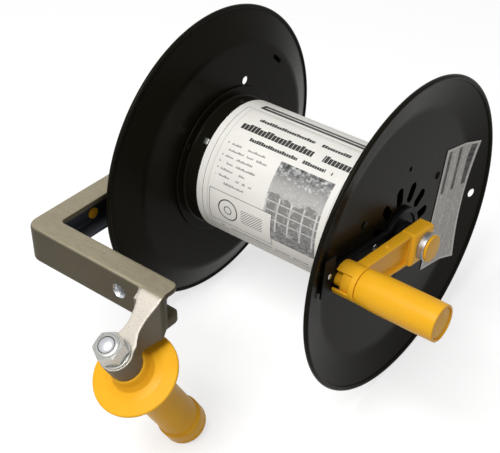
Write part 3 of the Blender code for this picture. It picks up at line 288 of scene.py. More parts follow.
# The label's print, in millimetres: across the drum from its middle, and down from the top
labelPrint = Values(
    radius=55.5,
    repeat=174.36,
    paper=(0.90, 0.88, 0.82, 1),
    paperShade=(0.83, 0.81, 0.755, 1),
    ink=(0.035, 0.033, 0.032, 1),
    softInk=(0.30, 0.29, 0.275, 1),
    border=(-60.0, 60.0, -5.5, 112.0),
    innerBorder=(-55.0, 55.0, -3.5, 110.0),
    band=(-52.0, 50.0, -17.5, -9.5),
    bandLine=(-49.0, 47.0, -14.2, -12.8),
    # Blocks of dashes: box, rows, dash, stroke, margin, share of gaps, ragged end and seed
    rows=[
        ((-40.0, 46.0, 2.6, 7.4), 1, 6.5, 2.4, 0.16, 0.2, 0, 3),
        ((-49.0, 54.0, 11.6, 20.4), 1, 9.5, 3.3, 0.12, 0.16, 0, 5),
        ((-35.0, 43.0, 23.2, 27.6), 1, 5.2, 2.2, 0.16, 0.22, 0, 9),
    ],
    fineRows=[
        ((-47.0, -8.0, 31.5, 68.0), 7, 3.1, 0.9, 0.33, 0.24, 16, 11),
        ((-50.5, -49.3, 31.5, 68.0), 7, 9.0, 30.0, 0.38, 0.3, 0, 2),
        ((-44.0, 42.0, 105.0, 108.4), 1, 3.4, 1.1, 0.22, 0.2, 0, 4),
    ],
    box=(-53.0, 8.5, 72.4, 102.2),
    wheel=(-34, 87),
    hatch=(-21, 0, 80.5, 93.5),
    picture=(0.0, 49.5, 31.6, 95.0),
    wheelRings=((8.6, 9.7), (3, 3.8)),
    hatchPitch=2.4,
    hatchGap=0.6,
    skyHeight=24,
    skyColour=(0.55, 0.54, 0.51, 1),
    hills=((46, 22), (62, 26)),
    hillColour=(0.16, 0.155, 0.145, 1),
    # The fence: pitch, share of it that is filled, and where it starts and ends down the label
    posts=(11.5, 0.14, 58, 86),
    rails=(7, 0.13, 61, 83),
    railTop=62,
    fenceColour=(0.78, 0.77, 0.74, 1),
)


def barred(along, down, pitch, share, first, last):
    return ((along / pitch).maths("FRACT") < share) * (down > first) * (down < last)


def printedPaper(values):
    # Cream paper with a border, bars for its print and a grey panel of hills behind a fence
    board, place = newFinish("labelPaper", Specular_IOR_Level=0.35)
    x, y, z = board.parts(place)
    turn = board.maths("ARCTAN2", (z - axle.z) * -1, (y - axle.y) * -1)
    u = (x - axle.x) * 1000
    down = (turn + math.pi / 2) * values.radius
    v = (down + 40).maths("FLOORED_MODULO", values.repeat) - 40
    fibre = board.noise(place, 900, 4, 0.6)
    stain = board.noise(place, 22, 4, 0.6)
    colour = board.mix(board.scaled(stain, 0.35, 0.75, 0, 1), values.paper, values.paperShade)
    ink = edged(u, v, *values.border, 0.35) + edged(u, v, *values.innerBorder, 0.3) * 0.6
    ink = ink + within(u, v, *values.band) * (1 - within(u, v, *values.bandLine))
    for block in values.rows:
        ink = ink + printRows(board, u, v, *block)
    soft = 0
    for block in values.fineRows:
        soft = printRows(board, u, v, *block) + soft
    ink = ink + edged(u, v, *values.box, 0.45)
    fromMiddle, below = u - values.wheel[0], v - values.wheel[1]
    wheel = board.maths("SQRT", fromMiddle * fromMiddle + below * below)
    for inner, outer in values.wheelRings:
        ink = ink + (wheel > inner) * (wheel < outer)
    hatch = ((u + v) / values.hatchPitch).maths("FRACT") > values.hatchGap
    soft = soft + hatch * within(u, v, *values.hatch)
    colour = board.mix(board.maths("MINIMUM", soft, 1), colour, values.softInk)
    colour = board.mix(board.maths("MINIMUM", ink, 1), colour, values.ink)
    panel = within(u, v, *values.picture) * (1 - within(u, v, *values.box))
    leaves = board.noise(board.joined(u, v, 0), 0.22, 6, 0.65)
    leaves = board.ramp(leaves, (0.38, 0.012), (0.5, 0.16), (0.62, 0.62))
    sky = board.scaled(v, values.picture[2], values.picture[2] + values.skyHeight, 0, 1)
    rolling = board.noise(board.joined(u, 0, 0), 0.06, 2)
    farHill, nearHill = [v > start + rolling * fall for start, fall in values.hills]
    field = board.noise(board.joined(u, v * 3, 5), 0.3, 5, 0.7)
    tone = board.mix(sky, leaves, values.skyColour)
    tone = board.mix(farHill * 0.75, tone, values.hillColour)
    tone = board.mix(nearHill * 0.8, tone, board.ramp(field, (0.35, 0.05), (0.65, 0.42)))
    posts = barred(u, v, *values.posts)
    rails = barred(v - values.railTop, v, *values.rails)
    tone = board.mix(board.maths("MAXIMUM", posts, rails) * 0.85, tone, values.fenceColour)
    tone = board.mix(board.ramp(leaves, (0.1, 0), (0.3, 0.5)), tone, leaves)
    colour = board.mix(panel, colour, tone)
    feed(board, Base_Color=colour, Roughness=0.42 + fibre * 0.18)
    return feed(board, Normal=board.bump(fibre, 0.12, 0.0002))


# The sticker's print, in millimetres from its middle
stickerPrint = Values(
    dashes=((-50.5, 50.5, -21.5, 21.5), 34, 2.3, 1.5, 0.24, 0.16, 0, 6),
    bars=((-19.5, -15.0), (-3.0, 1.6), (14.0, 20.5)),
    base=(0.64, 0.61, 0.57, 1),
    edge=(0.74, 0.72, 0.69, 1),
    ink=(0.014, 0.011, 0.010, 1),
    fine=(0.13, 0.12, 0.11, 1),
)


def printedFilm(values):
    # A grey film with a pale edge, three dark bars and fine columns of dashes
    board, place = newFinish("stickerFilm", Specular_IOR_Level=0.2)
    x, y, z = board.parts(place)
    lean = math.radians(reel.stickerLean)
    across = (y - axle.y - reel.stickerCentre[0]) * 1000
    above = (z - axle.z - reel.stickerCentre[1]) * 1000
    u = across * math.cos(lean) - above * math.sin(lean)
    v = across * math.sin(lean) + above * math.cos(lean)
    colour = board.mix(printRows(board, v, u, *values.dashes) * 0.7, values.base, values.fine)
    pale = edged(u, v, -23.4, 23.4, -52.5, 52.5, 1.4)
    pale = pale + within(u, v, -8.2, -7.4, -50, 50) + within(u, v, 7.4, 8.2, -50, 50)
    colour = board.mix(board.maths("MINIMUM", pale, 1), colour, values.edge)
    first, second, third = [within(u, v, *bar, 14, 50) for bar in values.bars]
    broken = board.whiteNoise("1D", W=(v / 2.6).maths("FLOOR"))
    colour = board.mix((first + second + third) * (0.8 + broken * 0.2), colour, values.ink)
    dull = board.noise(place, 60, 4, 0.6)
    feed(board, Base_Color=colour, Roughness=board.scaled(dull, 0.3, 0.7, 0.3, 0.5))
    return feed(board, Normal=board.bump(dull, 0.08, 0.0004))


yellowLook = Values(
    dark=(0.88, 0.43, 0.014, 1),
    light=(0.95, 0.49, 0.022, 1),
    rubColour=(0.72, 0.35, 0.03, 1),
    rubStrength=0.16,
    rubScale=26,
    mottleScale=70,
    grainScale=1900,
    gloss=0.30,
    matt=0.42,
    specular=0.16,
    bump=0.10,
    depth=0.0003,
)
blackPlasticLook = Values(
    yellowLook,
    dark=(0.004, 0.004, 0.0045, 1),
    light=(0.009, 0.009, 0.010, 1),
    rubColour=(0.03, 0.03, 0.03, 1),
    rubStrength=0.3,
    gloss=0.35,
    matt=0.5,
    specular=0.06,
)
nylonLook = Values(
    yellowLook,
    dark=(0.68, 0.66, 0.60, 1),
    light=(0.78, 0.76, 0.70, 1),
    rubColour=(0.50, 0.48, 0.43, 1),
)
enamelLook = Values(
    dark=(0.0050, 0.0044, 0.0026, 1),
    light=(0.0090, 0.0080, 0.0050, 1),
    dustColour=(0.16, 0.145, 0.12, 1),
    dustStrength=0.05,
    cloudScale=9,
    peelScale=620,
    dustScale=300,
    rimFrom=0.112,
    rimTo=0.127,
    gloss=0.20,
    matt=0.30,
    specular=0.045,
    warmth=(1.0, 0.95, 0.84, 1),
    bump=0.06,
    depth=0.0004,
)
castLook = Values(
    dark=(0.054, 0.044, 0.021, 1),
    light=(0.090, 0.074, 0.043, 1),
    # Colours of the upward faces, painted lighter as lit from above
    groundDark=(0.25, 0.218, 0.145, 1),
    groundLight=(0.375, 0.335, 0.235, 1),
    # The link's top, painted lighter as lit from above
    link=(0.58, 0.535, 0.465, 1),
    linkSide=(0.19, 0.17, 0.145, 1),
    # Painted shade for the channel's hollows
    hollow=(0.060, 0.068, 0.090, 1),
    pitColour=(0.06, 0.05, 0.035, 1),
    pitStrength=0.3,
    hollowStrength=0.85,
    metal=0.45,
    groundMetal=0.2,
    groundGloss=0.08,
    # Places on the frame, by reach from the axle and height above it, and facings by their Z
    groundAbove=0.012,
    groundFacing=(0.45, 0.85),
    linkTop=(0.1835, 0.1875),
    linkFacing=(0.15, 0.75),
    linkStart=(0.1855, 0.1885),
    hollowBox=(0.021, 0.1795, -0.0124, 0.0158),
    hollowFrom=-0.1135,
    lugFrom=0.0025,
    lugTop=-0.003,
    grainScale=1500,
    pitScale=700,
    cloudScale=30,
    streaks=(0.25, 1.0, 1.0),
    streakScale=420,
    gloss=0.42,
    matt=0.62,
    bump=0.28,
    depth=0.0004,
)
zincLook = Values(
    dark=(0.36, 0.365, 0.34, 1),
    light=(0.52, 0.52, 0.50, 1),
    cloudScale=160,
    lines=(1.0, 0.15, 0.15),
    lineScale=1800,
    gloss=0.20,
    matt=0.34,
    bump=0.02,
    depth=0.0002,
)
drilledLook = Values(
    zincLook,
    dark=(0.46, 0.47, 0.49, 1),
    light=(0.62, 0.63, 0.65, 1),
    gloss=0.36,
    matt=0.48,
)
yellowPlastic = moulded("yellowPlastic", yellowLook)
blackPlastic = moulded("blackPlastic", blackPlasticLook)
paleNylon = moulded("paleNylon", nylonLook)
blackEnamel = enamelled(enamelLook)
castAluminium = castMetal(castLook)
zincPlate = platedSteel("zincPlate", zincLook)
drilledMetal = platedSteel("drilledMetal", drilledLook)
labelPaper = printedPaper(labelPrint)
stickerFilm = printedFilm(stickerPrint)
print("finishes made")


def rounded(profile, radius, closed=False, steps=4):
    # A profile with each corner rounded by up to the radius
    result = []
    count = len(profile)
    for i, point in enumerate(profile):
        here = Vector(point)
        before = Vector(profile[i - 1]) - here
        after = Vector(profile[(i + 1) % count]) - here
        if (not closed and i in (0, count - 1)) or before.angle(after) > math.radians(172):
            result.append(tuple(point))
            continue
        reach = min(radius, before.length * 0.45, after.length * 0.45)
        first = here + before.normalized() * reach
        last = here + after.normalized() * reach
        for k in range(steps + 1):
            t = k / steps
            result.append(tuple(first * (1 - t) ** 2 + here * 2 * t * (1 - t) + last * t**2))
    return result


def turned(profile, steps=96, closed=False):
    # A profile of (along, radius) turned about X; a radius of nothing makes a pole
    mesh = bmesh.new()
    rings = []
    for along, radius in profile:
        if radius < 1e-7:
            rings.append([mesh.verts.new((along, 0, 0))] * steps)
            continue
        angles = [math.tau * i / steps for i in range(steps)]
        rings.append([mesh.verts.new((along, radius * math.cos(a), radius * math.sin(a))) for a in angles])
    pairs = list(zip(rings, rings[1:]))
    if closed:
        pairs.append((rings[-1], rings[0]))
    for first, second in pairs:
        for i in range(steps):
            j = (i + 1) % steps
            corners = list(dict.fromkeys((first[i], first[j], second[j], second[i])))
            if len(corners) > 2:
                mesh.faces.new(corners)
    return mesh


def lofted(outlines):
    # Closed outlines of equal length joined in turn, with both ends filled
    mesh = bmesh.new()
    layers = [[mesh.verts.new(point) for point in outline] for outline in outlines]
    count = len(outlines[0])
    for first, second in zip(layers, layers[1:]):
        for i in range(count):
            j = (i + 1) % count
            mesh.faces.new((first[i], first[j], second[j], second[i]))
    mesh.faces.new(layers[0][::-1])
    mesh.faces.new(layers[-1])
    return mesh


def block(outline, start, end):
    # An outline of (y, z) drawn out along X
    return lofted([[(x, y, z) for y, z in outline] for x in (start, end)])


def atAngle(radius, degrees):
    angle = math.radians(degrees)
    return radius * math.cos(angle), radius * math.sin(angle)


def circle(radius, steps=48, centre=(0, 0)):
    points = [atAngle(radius, 360 * i / steps) for i in range(steps)]
    return [(centre[0] + a, centre[1] + b) for a, b in points]


def solid(name, mesh, place=upright):
    # An object at the origin whose mesh holds its place
    bmesh.ops.remove_doubles(mesh, verts=mesh.verts, dist=1e-6)
    bmesh.ops.recalc_face_normals(mesh, faces=mesh.faces)
    mesh.transform(place)
    data = bpy.data.meshes.new(name)
    mesh.to_mesh(data)
    mesh.free()
    thing = bpy.data.objects.new(name, data)
    bpy.context.scene.collection.objects.link(thing)
    return thing


def spun(name, profile, edge, steps=96, place=upright, fineness=4):
    # A profile with rounded corners turned about X; one that starts off the axis makes a ring
    ring = profile[0][1] > 0
    return solid(name, turned(rounded(profile, edge, ring, fineness), steps, ring), place)


def rod(name, radius, start, end, steps=96, place=upright):
    return solid(name, turned([(start, 0), (start, radius), (end, radius), (end, 0)], steps), place)


def settled(thing):
    # Its modifiers made part of its mesh
    evaluated = thing.evaluated_get(bpy.context.evaluated_depsgraph_get())
    data = bpy.data.meshes.new_from_object(evaluated)
    thing.modifiers.clear()
    thing.data = data
    return thing


def combined(thing, others, operation):
    for other in others:
        modifier = thing.modifiers.new("combine", "BOOLEAN")
        modifier.operation = operation
        modifier.solver = "EXACT"
        modifier.object = other
        settled(thing)
        bpy.data.objects.remove(other)


def softened(thing, voxel, passes):
    # A fine even mesh with the corners worn round, as castings and mouldings have
    remesh = thing.modifiers.new("remesh", "REMESH")
    remesh.mode = "VOXEL"
    remesh.voxel_size = voxel
    smooth = thing.modifiers.new("smooth", "SMOOTH")
    smooth.factor = 0.5
    smooth.iterations = passes
    settled(thing)


def dressed(thing, material, body, stoodFor, sharp=35):
    # Its shading, its finish, its body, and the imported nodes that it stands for
    thing.data.materials.clear()
    thing.data.materials.append(material)
    thing.data.shade_smooth()
    thing.data.set_sharp_from_angle(angle=math.radians(sharp))
    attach(thing, body)
    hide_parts(*stoodFor)


# How copies are set round a circle, as rivets and slots are
def circleTree():
    tree = bpy.data.node_groups.new("copiesRoundCircle", "GeometryNodeTree")
    for name, kind in (
        ("Copies", "NodeSocketInt"),
        ("Circle radius", "NodeSocketFloat"),
        ("First angle", "NodeSocketFloat"),
        ("Thing", "NodeSocketObject"),
        ("Finish", "NodeSocketMaterial"),
    ):
        tree.interface.new_socket(name, in_out="INPUT", socket_type=kind)
    tree.interface.new_socket("Geometry", in_out="OUTPUT", socket_type="NodeSocketGeometry")
    board = Board(tree)
    inputs = tree.nodes.new("NodeGroupInput")
    copies, radius, first, thing, finish = [Wire(board, socket) for socket in inputs.outputs[:5]]
    turn = board.put("GeometryNodeInputIndex") * math.tau / copies + first
    spot = board.joined(0, radius * turn.maths("COSINE"), radius * turn.maths("SINE"))
    points = board.put("GeometryNodePoints", None, {"Count": copies, "Position": spot})
    shape = board.put("GeometryNodeObjectInfo", None, {"Object": thing}, "Geometry")
    facing = board.put("FunctionNodeEulerToRotation", None, {"Euler": board.joined(turn, 0, 0)})
    sockets = {"Points": points, "Instance": shape, "Rotation": facing}
    spread = board.put("GeometryNodeInstanceOnPoints", None, sockets)
    real = board.put("GeometryNodeRealizeInstances", None, {"Geometry": spread})
    made = board.put("GeometryNodeSetMaterial", None, {"Geometry": real, "Material": finish})
    output = tree.nodes.new("NodeGroupOutput")
    tree.links.new(made.socket, output.inputs[0])
    return tree


circleNodes = circleTree()


def roundCircle(name, copy, count, radius, firstAngle, material, place):
    # One mesh of all the copies, each turned to face out from the circle's middle
    holder = bpy.data.objects.new(name, bpy.data.meshes.new(name))
    bpy.context.scene.collection.objects.link(holder)
    modifier = holder.modifiers.new("copies", "NODES")
    modifier.node_group = circleNodes
    values = {
        "Copies": count,
        "Circle radius": radius,
        "First angle": math.radians(firstAngle),
        "Thing": copy,
        "Finish": material,
    }
    for item in circleNodes.interface.items_tree:
        if item.item_type == "SOCKET" and item.in_out == "INPUT":
            modifier[item.identifier] = values[item.name]
    settled(holder)
    holder.data.transform(place)
    bpy.data.objects.remove(copy)
    return holder


# The two flanges: dished sheets with a rolled rim
flangeValues = Values(
    radius=0.127,
    bead=0.002,
    sheet=0.001,
    crease=0.0995,
    bend=0.0035,
    slope=0.3,
    hole=0.014,
    leftWeb=-0.082,
    rightWeb=0.086,
    rim=0.09365,
    slots=12,
    slotCircle=0.033,
    slotLength=0.016,
    slotWidth=0.0085,
    rivets=3,
    rivetCircle=0.0592,
    rivetFirst=142.0,
    rivetHole=0.0022,
    steps=216,
)


def roundRivets(name, copy, place):
    v = flangeValues
    return roundCircle(name, copy, v.rivets, v.rivetCircle, v.rivetFirst, blackEnamel, place)


def flangeProfile(v, web, rim):
    side = math.copysign(1, rim - web)
    half = v.sheet / 2
    centre = v.radius - v.bead
    flare = math.atan2(abs(rim - web), centre - v.crease)
    entry = math.asin(half / v.bead)
    bead = []
    for i in range(21):
        angle = flare + math.pi + entry + (math.tau - 2 * entry) * i / 20
        bead.append((rim + side * v.bead * math.sin(angle), centre + v.bead * math.cos(angle)))
    inner = [(web - side * half, v.hole), (web - side * half, v.crease)]
    outer = [(web + side * half, v.crease), (web + side * half, v.hole)]
    if abs(bead[0][0] - inner[1][0]) > abs(bead[-1][0] - inner[1][0]):
        bead.reverse()
    bent = rounded([inner[0], inner[1], bead[0]], v.bend, steps=6)[:-1]
    back = rounded([bead[-1], outer[0], outer[1]], v.bend, steps=6)[1:]
    return bent + bead + back


def slotOutline(length, width):
    # A slot with blunt points at both ends
    half, point = width / 2, width * 0.3
    near, far = -length / 2, length / 2
    shape = [(near, -half * 0.4), (near + point, -half), (far - point, -half), (far, -half * 0.4)]
    shape += [(a, -b) for a, b in shape[::-1]]
    return rounded(shape, 0.0004, True, 3)


def squareAt(width, height, radius, degrees):
    corners = ((-width, -height), (width, -height), (width, height), (-width, height))
    return turnedTo([(a / 2, b / 2) for a, b in corners], radius, degrees)


def turnedTo(outline, radius, degrees):
    # An outline set out from the axle at a radius and turned with it
    c, s = atAngle(1, degrees)
    return [((radius + a) * c - b * s, (radius + a) * s + b * c) for a, b in outline]


def pocket(web, side):
    # The shallow pressed pocket that closes a slot, behind the sheet
    outlines = []
    width, height, radius, degrees = wireSlot
    for depth, spread in ((0.0002, 0.0044), (0.0042, 0.0020)):
        outline = squareAt(width + spread, height + spread, radius, degrees)
        outlines.append([(web + side * depth, a, b) for a, b in outline])
    return solid("pocket", lofted(outlines))


def flange(name, web, rim, extraHoles, pocketDepth=0):
    v, side = flangeValues, math.copysign(1, rim - web)
    body = solid(name, turned(flangeProfile(v, web, rim), v.steps, closed=True))
    low, high = min(web, rim) - 0.005, max(web, rim) + 0.005
    slot = solid("slotCutter", block(slotOutline(v.slotLength, v.slotWidth), low, high))
    rivet = solid("rivetCutter", block(circle(v.rivetHole, 24), low, high))
    cutters = [
        roundCircle("slots", slot, v.slots, v.slotCircle, 0, blackEnamel, upright),
        roundRivets("rivetHoles", rivet, upright),
    ]
    cutters += [solid("holeCutter", block(outline, low, high)) for outline in extraHoles]
    if pocketDepth:
        combined(body, [pocket(web, side)], "UNION")
        ends = sorted((web - side * 0.005, web + side * pocketDepth))
        cutters.append(solid("pocketCutter", block(squareAt(*wireSlot), *ends)))
    combined(body, cutters, "DIFFERENCE")
    body.data.transform(onReel)
    dressed(body, blackEnamel, "cartridge", [name.replace("Flange", "_flange")], 28)


def crankPoint(reach, above=0.0):
    c, s = atAngle(1, reel.crankTurn)
    return -reach * c - above * s, -reach * s + above * c


wireSlot = (0.0035, 0.013, 0.0932, 42.0)
leftHoles = [turnedTo(circle(0.0035, 36), 0.067, 66.0)]
rightHoles = [
    squareAt(0.0036, 0.0036, 0.0535, 76.5),
    turnedTo(circle(0.00375, 36), 0.111, -12.4),
    circle(0.0052, 36, crankPoint(reel.crankRadius)),
    circle(0.0015, 24, crankPoint(0.040, 0.0065)),
    circle(0.0015, 24, crankPoint(0.0968, 0.0065)),
]
flange("leftFlange", flangeValues.leftWeb, -flangeValues.rim, leftHoles, 0.0034)
flange("rightFlange", flangeValues.rightWeb, flangeValues.rim, rightHoles)
leftFace = flangeValues.leftWeb - flangeValues.sheet / 2
rightFace = flangeValues.rightWeb + flangeValues.sheet / 2
print("flanges made")


# The drum between them
drumValues = Values(
    left=-0.0812,
    right=0.0852,
    radius=0.0548,
    wall=0.0025,
    lip=0.063,
    lipThickness=0.0016,
    flare=0.0012,
    labelHalf=0.066,
    labelInner=0.0551,
    labelOuter=0.0555,
    tab=(0.0008, 0.005, 0.0555, 131.9),
    tabReach=(-0.07145, -0.06695),
)


def drum(v):
    profile, holes = [], []
    for name, end, out in (("leftHoles", v.left, 1), ("rightHoles", v.right, -1)):
        lip = end + out * v.lipThickness
        side = [(end, v.radius - v.wall), (end, v.lip), (lip, v.lip)]
        side += [(lip, v.radius + v.flare), (lip + out * v.flare, v.radius)]
        profile += side[::out]
        low, high = sorted((end - out * 0.001, lip + out * 0.0006))
        hole = solid("lipCutter", block(circle(flangeValues.rivetHole, 24), low, high))
        holes.append(roundRivets(name, hole, upright))
    core = spun("drumCore", profile, 0.0005, 144)
    combined(core, holes, "DIFFERENCE")
    core.data.transform(onReel)
    dressed(core, blackEnamel, "cartridge", ["drum_core"])
    half, inner, outer = v.labelHalf, v.labelInner, v.labelOuter
    ring = [(-half, inner), (-half, outer), (half, outer), (half, inner)]
    label = spun("drumLabel", ring, 0.0001, 240, onReel, 2)
    dressed(label, labelPaper, "cartridge", ["drum_label"])
    tab = solid("wireTab", block(squareAt(*v.tab), *v.tabReach), onReel)
    edge = tab.modifiers.new("edge", "BEVEL")
    edge.width = 0.00025
    edge.segments = 3
    dressed(settled(tab), zincPlate, "cartridge", ["wire_tab"])


drum(drumValues)


# Rivets, whose heads lie outside the flanges and whose tails lie inside the drum's lips
rivetValues = Values(
    shank=0.0019,
    head=0.0031,
    headHeight=0.0012,
    tail=0.0026,
    tailHeight=0.001,
    grip=0.0032,
)


def rivets(v, side, face):
    start, top = -v.grip - v.tailHeight, gap + v.headHeight
    profile = [(start, 0), (start, v.tail * 0.8), (start + v.tailHeight * 0.5, v.tail), (-v.grip, v.tail)]
    profile += [(-v.grip, v.shank), (gap, v.shank), (gap, v.head), (gap + v.headHeight * 0.35, v.head)]
    profile += [(gap + v.headHeight * 0.8, v.head * 0.62), (top, v.head * 0.25), (top, 0)]
    name = "left" if side < 0 else "right"
    rivet = solid("rivet", turned([(face + side * x, r) for x, r in rounded(profile, 0.0003)], 28))
    ring = roundRivets(name + "Rivets", rivet, onReel)
    stoodFor = [f"{name}_rivet_{i}" for i in (1, 2, 3)]
    dressed(ring, blackEnamel, "cartridge", stoodFor)


rivets(rivetValues, -1, leftFace)
rivets(rivetValues, 1, rightFace)
print("drum and rivets made")


# The sticker, bent up along the flared band
stickerValues = Values(
    width=0.0468,
    height=0.105,
    thickness=0.0003,
    columns=60,
    rows=80,
)


def sticker(v):
    mesh = bmesh.new()
    across = atAngle(1, -reel.stickerLean)
    up = atAngle(1, 90 - reel.stickerLean)
    bend, slope = flangeValues.bend * 0.5, flangeValues.slope
    layers = []
    for lift in (gap, gap + v.thickness):
        grid = []
        for row in range(v.rows + 1):
            for column in range(v.columns + 1):
                a = v.width * (column / v.columns - 0.5)
                b = v.height * (row / v.rows - 0.5)
                y = reel.stickerCentre[0] + a * across[0] + b * up[0]
                z = reel.stickerCentre[1] + a * across[1] + b * up[1]
                past = math.hypot(y, z) - flangeValues.crease
                climb = 0 if past < -bend else slope * (past + bend) ** 2 / (4 * bend)
                if past > bend:
                    climb = slope * past
                grid.append(mesh.verts.new((rightFace + lift + climb, y, z)))
        layers.append(grid)
    wide = v.columns + 1
    for row in range(v.rows):
        for column in range(v.columns):
            i = row * wide + column
            corners = (i, i + 1, i + 1 + wide, i + wide)
            mesh.faces.new([layers[1][c] for c in corners])
            mesh.faces.new([layers[0][c] for c in corners[::-1]])
    last = wide * (v.rows + 1) - 1
    border = list(range(v.columns)) + [v.columns + wide * row for row in range(v.rows)]
    border += [last - i for i in range(v.columns)] + [wide * row for row in range(v.rows, 0, -1)]
    for first, second in zip(border, border[1:] + border[:1]):
        mesh.faces.new((layers[0][first], layers[0][second], layers[1][second], layers[1][first]))
    film = solid("flangeSticker", mesh, onReel)
    dressed(film, stickerFilm, "cartridge", ["flange_sticker"])


sticker(stickerValues)


# Bushes in the flanges' middle holes
bushValues = Values(
    bore=0.0083,
    neck=0.0137,
    head=0.018,
    nose=0.0118,
    headHeight=0.0025,
    depth=0.014,
    leftEnd=-0.09585,
    rightEnd=0.097,
)


def hubBush(v, name, node, face, side, end):
    head, inside = face + side * gap, face - side * v.depth
    top = head + side * v.headHeight
    profile = [(inside, v.bore), (inside, v.neck), (head, v.neck), (head, v.head)]
    profile += [(top, v.head), (top, v.nose), (end, v.nose), (end, v.bore)]
    bush = spun(name, profile, 0.0005, 96, onReel)
    dressed(bush, blackPlastic, "cartridge", [node])


hubBush(bushValues, "leftBush", "left_hub_bush", leftFace, -1, bushValues.leftEnd)
hubBush(bushValues, "rightBush", "right_hub_bush", rightFace, 1, bushValues.rightEnd)


# The black bar on the crank side flange, with its hub ring and end block
driveValues = Values(
    back=0.0868,
    thickness=0.0036,
    ring=0.0225,
    low=-0.010,
    high=0.0115,
    blockHigh=0.021,
    end=0.0975,
    overhang=0.0065,
    blockLength=0.013,
    blockHeight=0.0038,
    hole=0.0052,
    screws=(0.040, 0.0968),
    screwOffset=0.0065,
)


def driveBar(v):
    start = math.degrees(math.asin(v.high / v.ring))
    end = 360 + math.degrees(math.asin(v.low / v.ring))
    outline = [(v.end, v.low), (v.end, v.high)]
    outline += [atAngle(v.ring, start + (end - start) * i / 60) for i in range(61)]
    bar = solid("driveBar", block([(-a, b) for a, b in outline], v.back, v.back + v.thickness))
    blockEnd = v.end + v.overhang
    climb = (math.hypot(blockEnd, v.blockHigh) - flangeValues.crease) * flangeValues.slope
    near, low = v.blockLength - blockEnd, v.low + sliver
    shape = [(-blockEnd, low), (-blockEnd, v.blockHigh), (near, v.blockHigh), (near, low)]
    endBlock = solid("endBlock", block(shape, v.back + climb + gap, v.back + v.blockHeight))
    combined(bar, [endBlock], "UNION")
    softened(bar, 0.00045, 3)
    holes = [("hubCutter", 0.0183, 96, (0, 0)), ("pegCutter", v.hole, 48, (-reel.crankRadius, 0))]
    holes += [("screwCutter", 0.0015, 24, (-reach, v.screwOffset)) for reach in v.screws]
    cutters = [solid(n, block(circle(r, steps, spot), 0.086, v.back + 0.006)) for n, r, steps, spot in holes]
    combined(bar, cutters, "DIFFERENCE")
    bar.data.transform(onCrank)
    dressed(bar, blackPlastic, "cartridge", ["drive_bar"])
    for name, node, reach, height in (
        ("innerDriveScrew", "inner_drive_screw", v.screws[0], v.thickness),
        ("outerDriveScrew", "outer_drive_screw", v.screws[1], v.blockHeight),
    ):
        seat = v.back + height + gap
        profile = [(0.085, 0), (0.085, 0.0012), (seat, 0.0012), (seat, 0.0022)]
        profile += [(seat + 0.0006, 0.0018), (seat + 0.001, 0.0006), (seat + 0.001, 0)]
        place = onCrank @ Matrix.Translation((0, -reach, v.screwOffset))
        dressed(spun(name, profile, 0.0002, 32, place), zincPlate, "cartridge", [node])


driveBar(driveValues)
print("bushes and drive bar made")


# The frame casting: a channel from the axle round the corner to the hand grip's boss
castingValues = Values(
    inner=-0.10055,
    outer=-0.11935,
    width=0.0188,
    wall=0.0062,
    top=0.020,
    topThickness=0.0045,
    bottomThickness=0.0036,
    depthAtAxle=0.0325,
    depthAtGrip=0.0302,
    reach=0.185,
    endX=0.0165,
    corner=0.010,
    innerCorner=0.0036,
    edge=0.0025,
    fillet=0.001,
    bossRadius=0.0205,
    bossProud=0.0006,
    gripBoss=0.0125,
    gripBossLength=0.018,
    endRound=0.006,
    tab=0.0021,
    tabInside=0.004,
    tabDepth=0.009,
    tabLength=0.0065,
    padLength=0.014,
    padHeight=0.0075,
    padDrop=0.001,
    post=(-0.0243, 0.0051),
    postRadius=0.0046,
    postSink=0.0062,
    linkHalf=(
        (0.0, 0.0097),
        (0.12, 0.0094),
        (0.3, 0.0079),
        (0.5, 0.0065),
        (0.66, 0.0061),
        (0.8, 0.0066),
        (0.92, 0.0082),
        (1.0, 0.0098),
    ),
    bolt=0.0063,
    plug=(-0.124, -0.0014),
    plugHole=0.0042,
    linkDepthAtArm=0.0356,
    linkDepthAtBoss=0.0152,
    voxel=0.00078,
)


def channelSection(v, depth):
    low = v.top - depth
    edge, fillet = v.edge, v.fillet
    section = []
    for i in range(6):
        a, b = atAngle(edge, 180 - 90 * i / 5)
        section.append((edge + a, v.top - edge + b))
    under, floor = v.top - v.topThickness, low + v.bottomThickness
    section += [(v.width, v.top), (v.width, under), (v.wall + fillet, under), (v.wall, under - fillet)]
    section += [(v.wall, floor + fillet), (v.wall + fillet, floor), (v.width, floor), (v.width, low)]
    for i in range(6):
        a, b = atAngle(edge, -90 - 90 * i / 5)
        section.append((edge + a, low + edge + b))
    return section


def channelOutline(v, outer, inner, depth, cutBack=0.0):
    points = []
    for inward, height in channelSection(v, depth):
        share = min(inward, v.width - cutBack) / v.width
        x = outer[0] + (inner[0] - outer[0]) * share
        reach = outer[1] + (inner[1] - outer[1]) * share
        points.append((x, -reach, height))
    return points


def onGripAxis(v, station, radius):
    lean = math.radians(reel.gripLean)
    reach = reel.gripReach - station * math.sin(lean) + radius * math.cos(lean)
    return reach, -reel.gripDrop - station * math.cos(lean) - radius * math.sin(lean)


def linkOutline(x, reach, half, low, high):
    left, right = x - half, x + half
    return [(left, -reach, low), (right, -reach, low), (right, -reach, high), (left, -reach, high)]


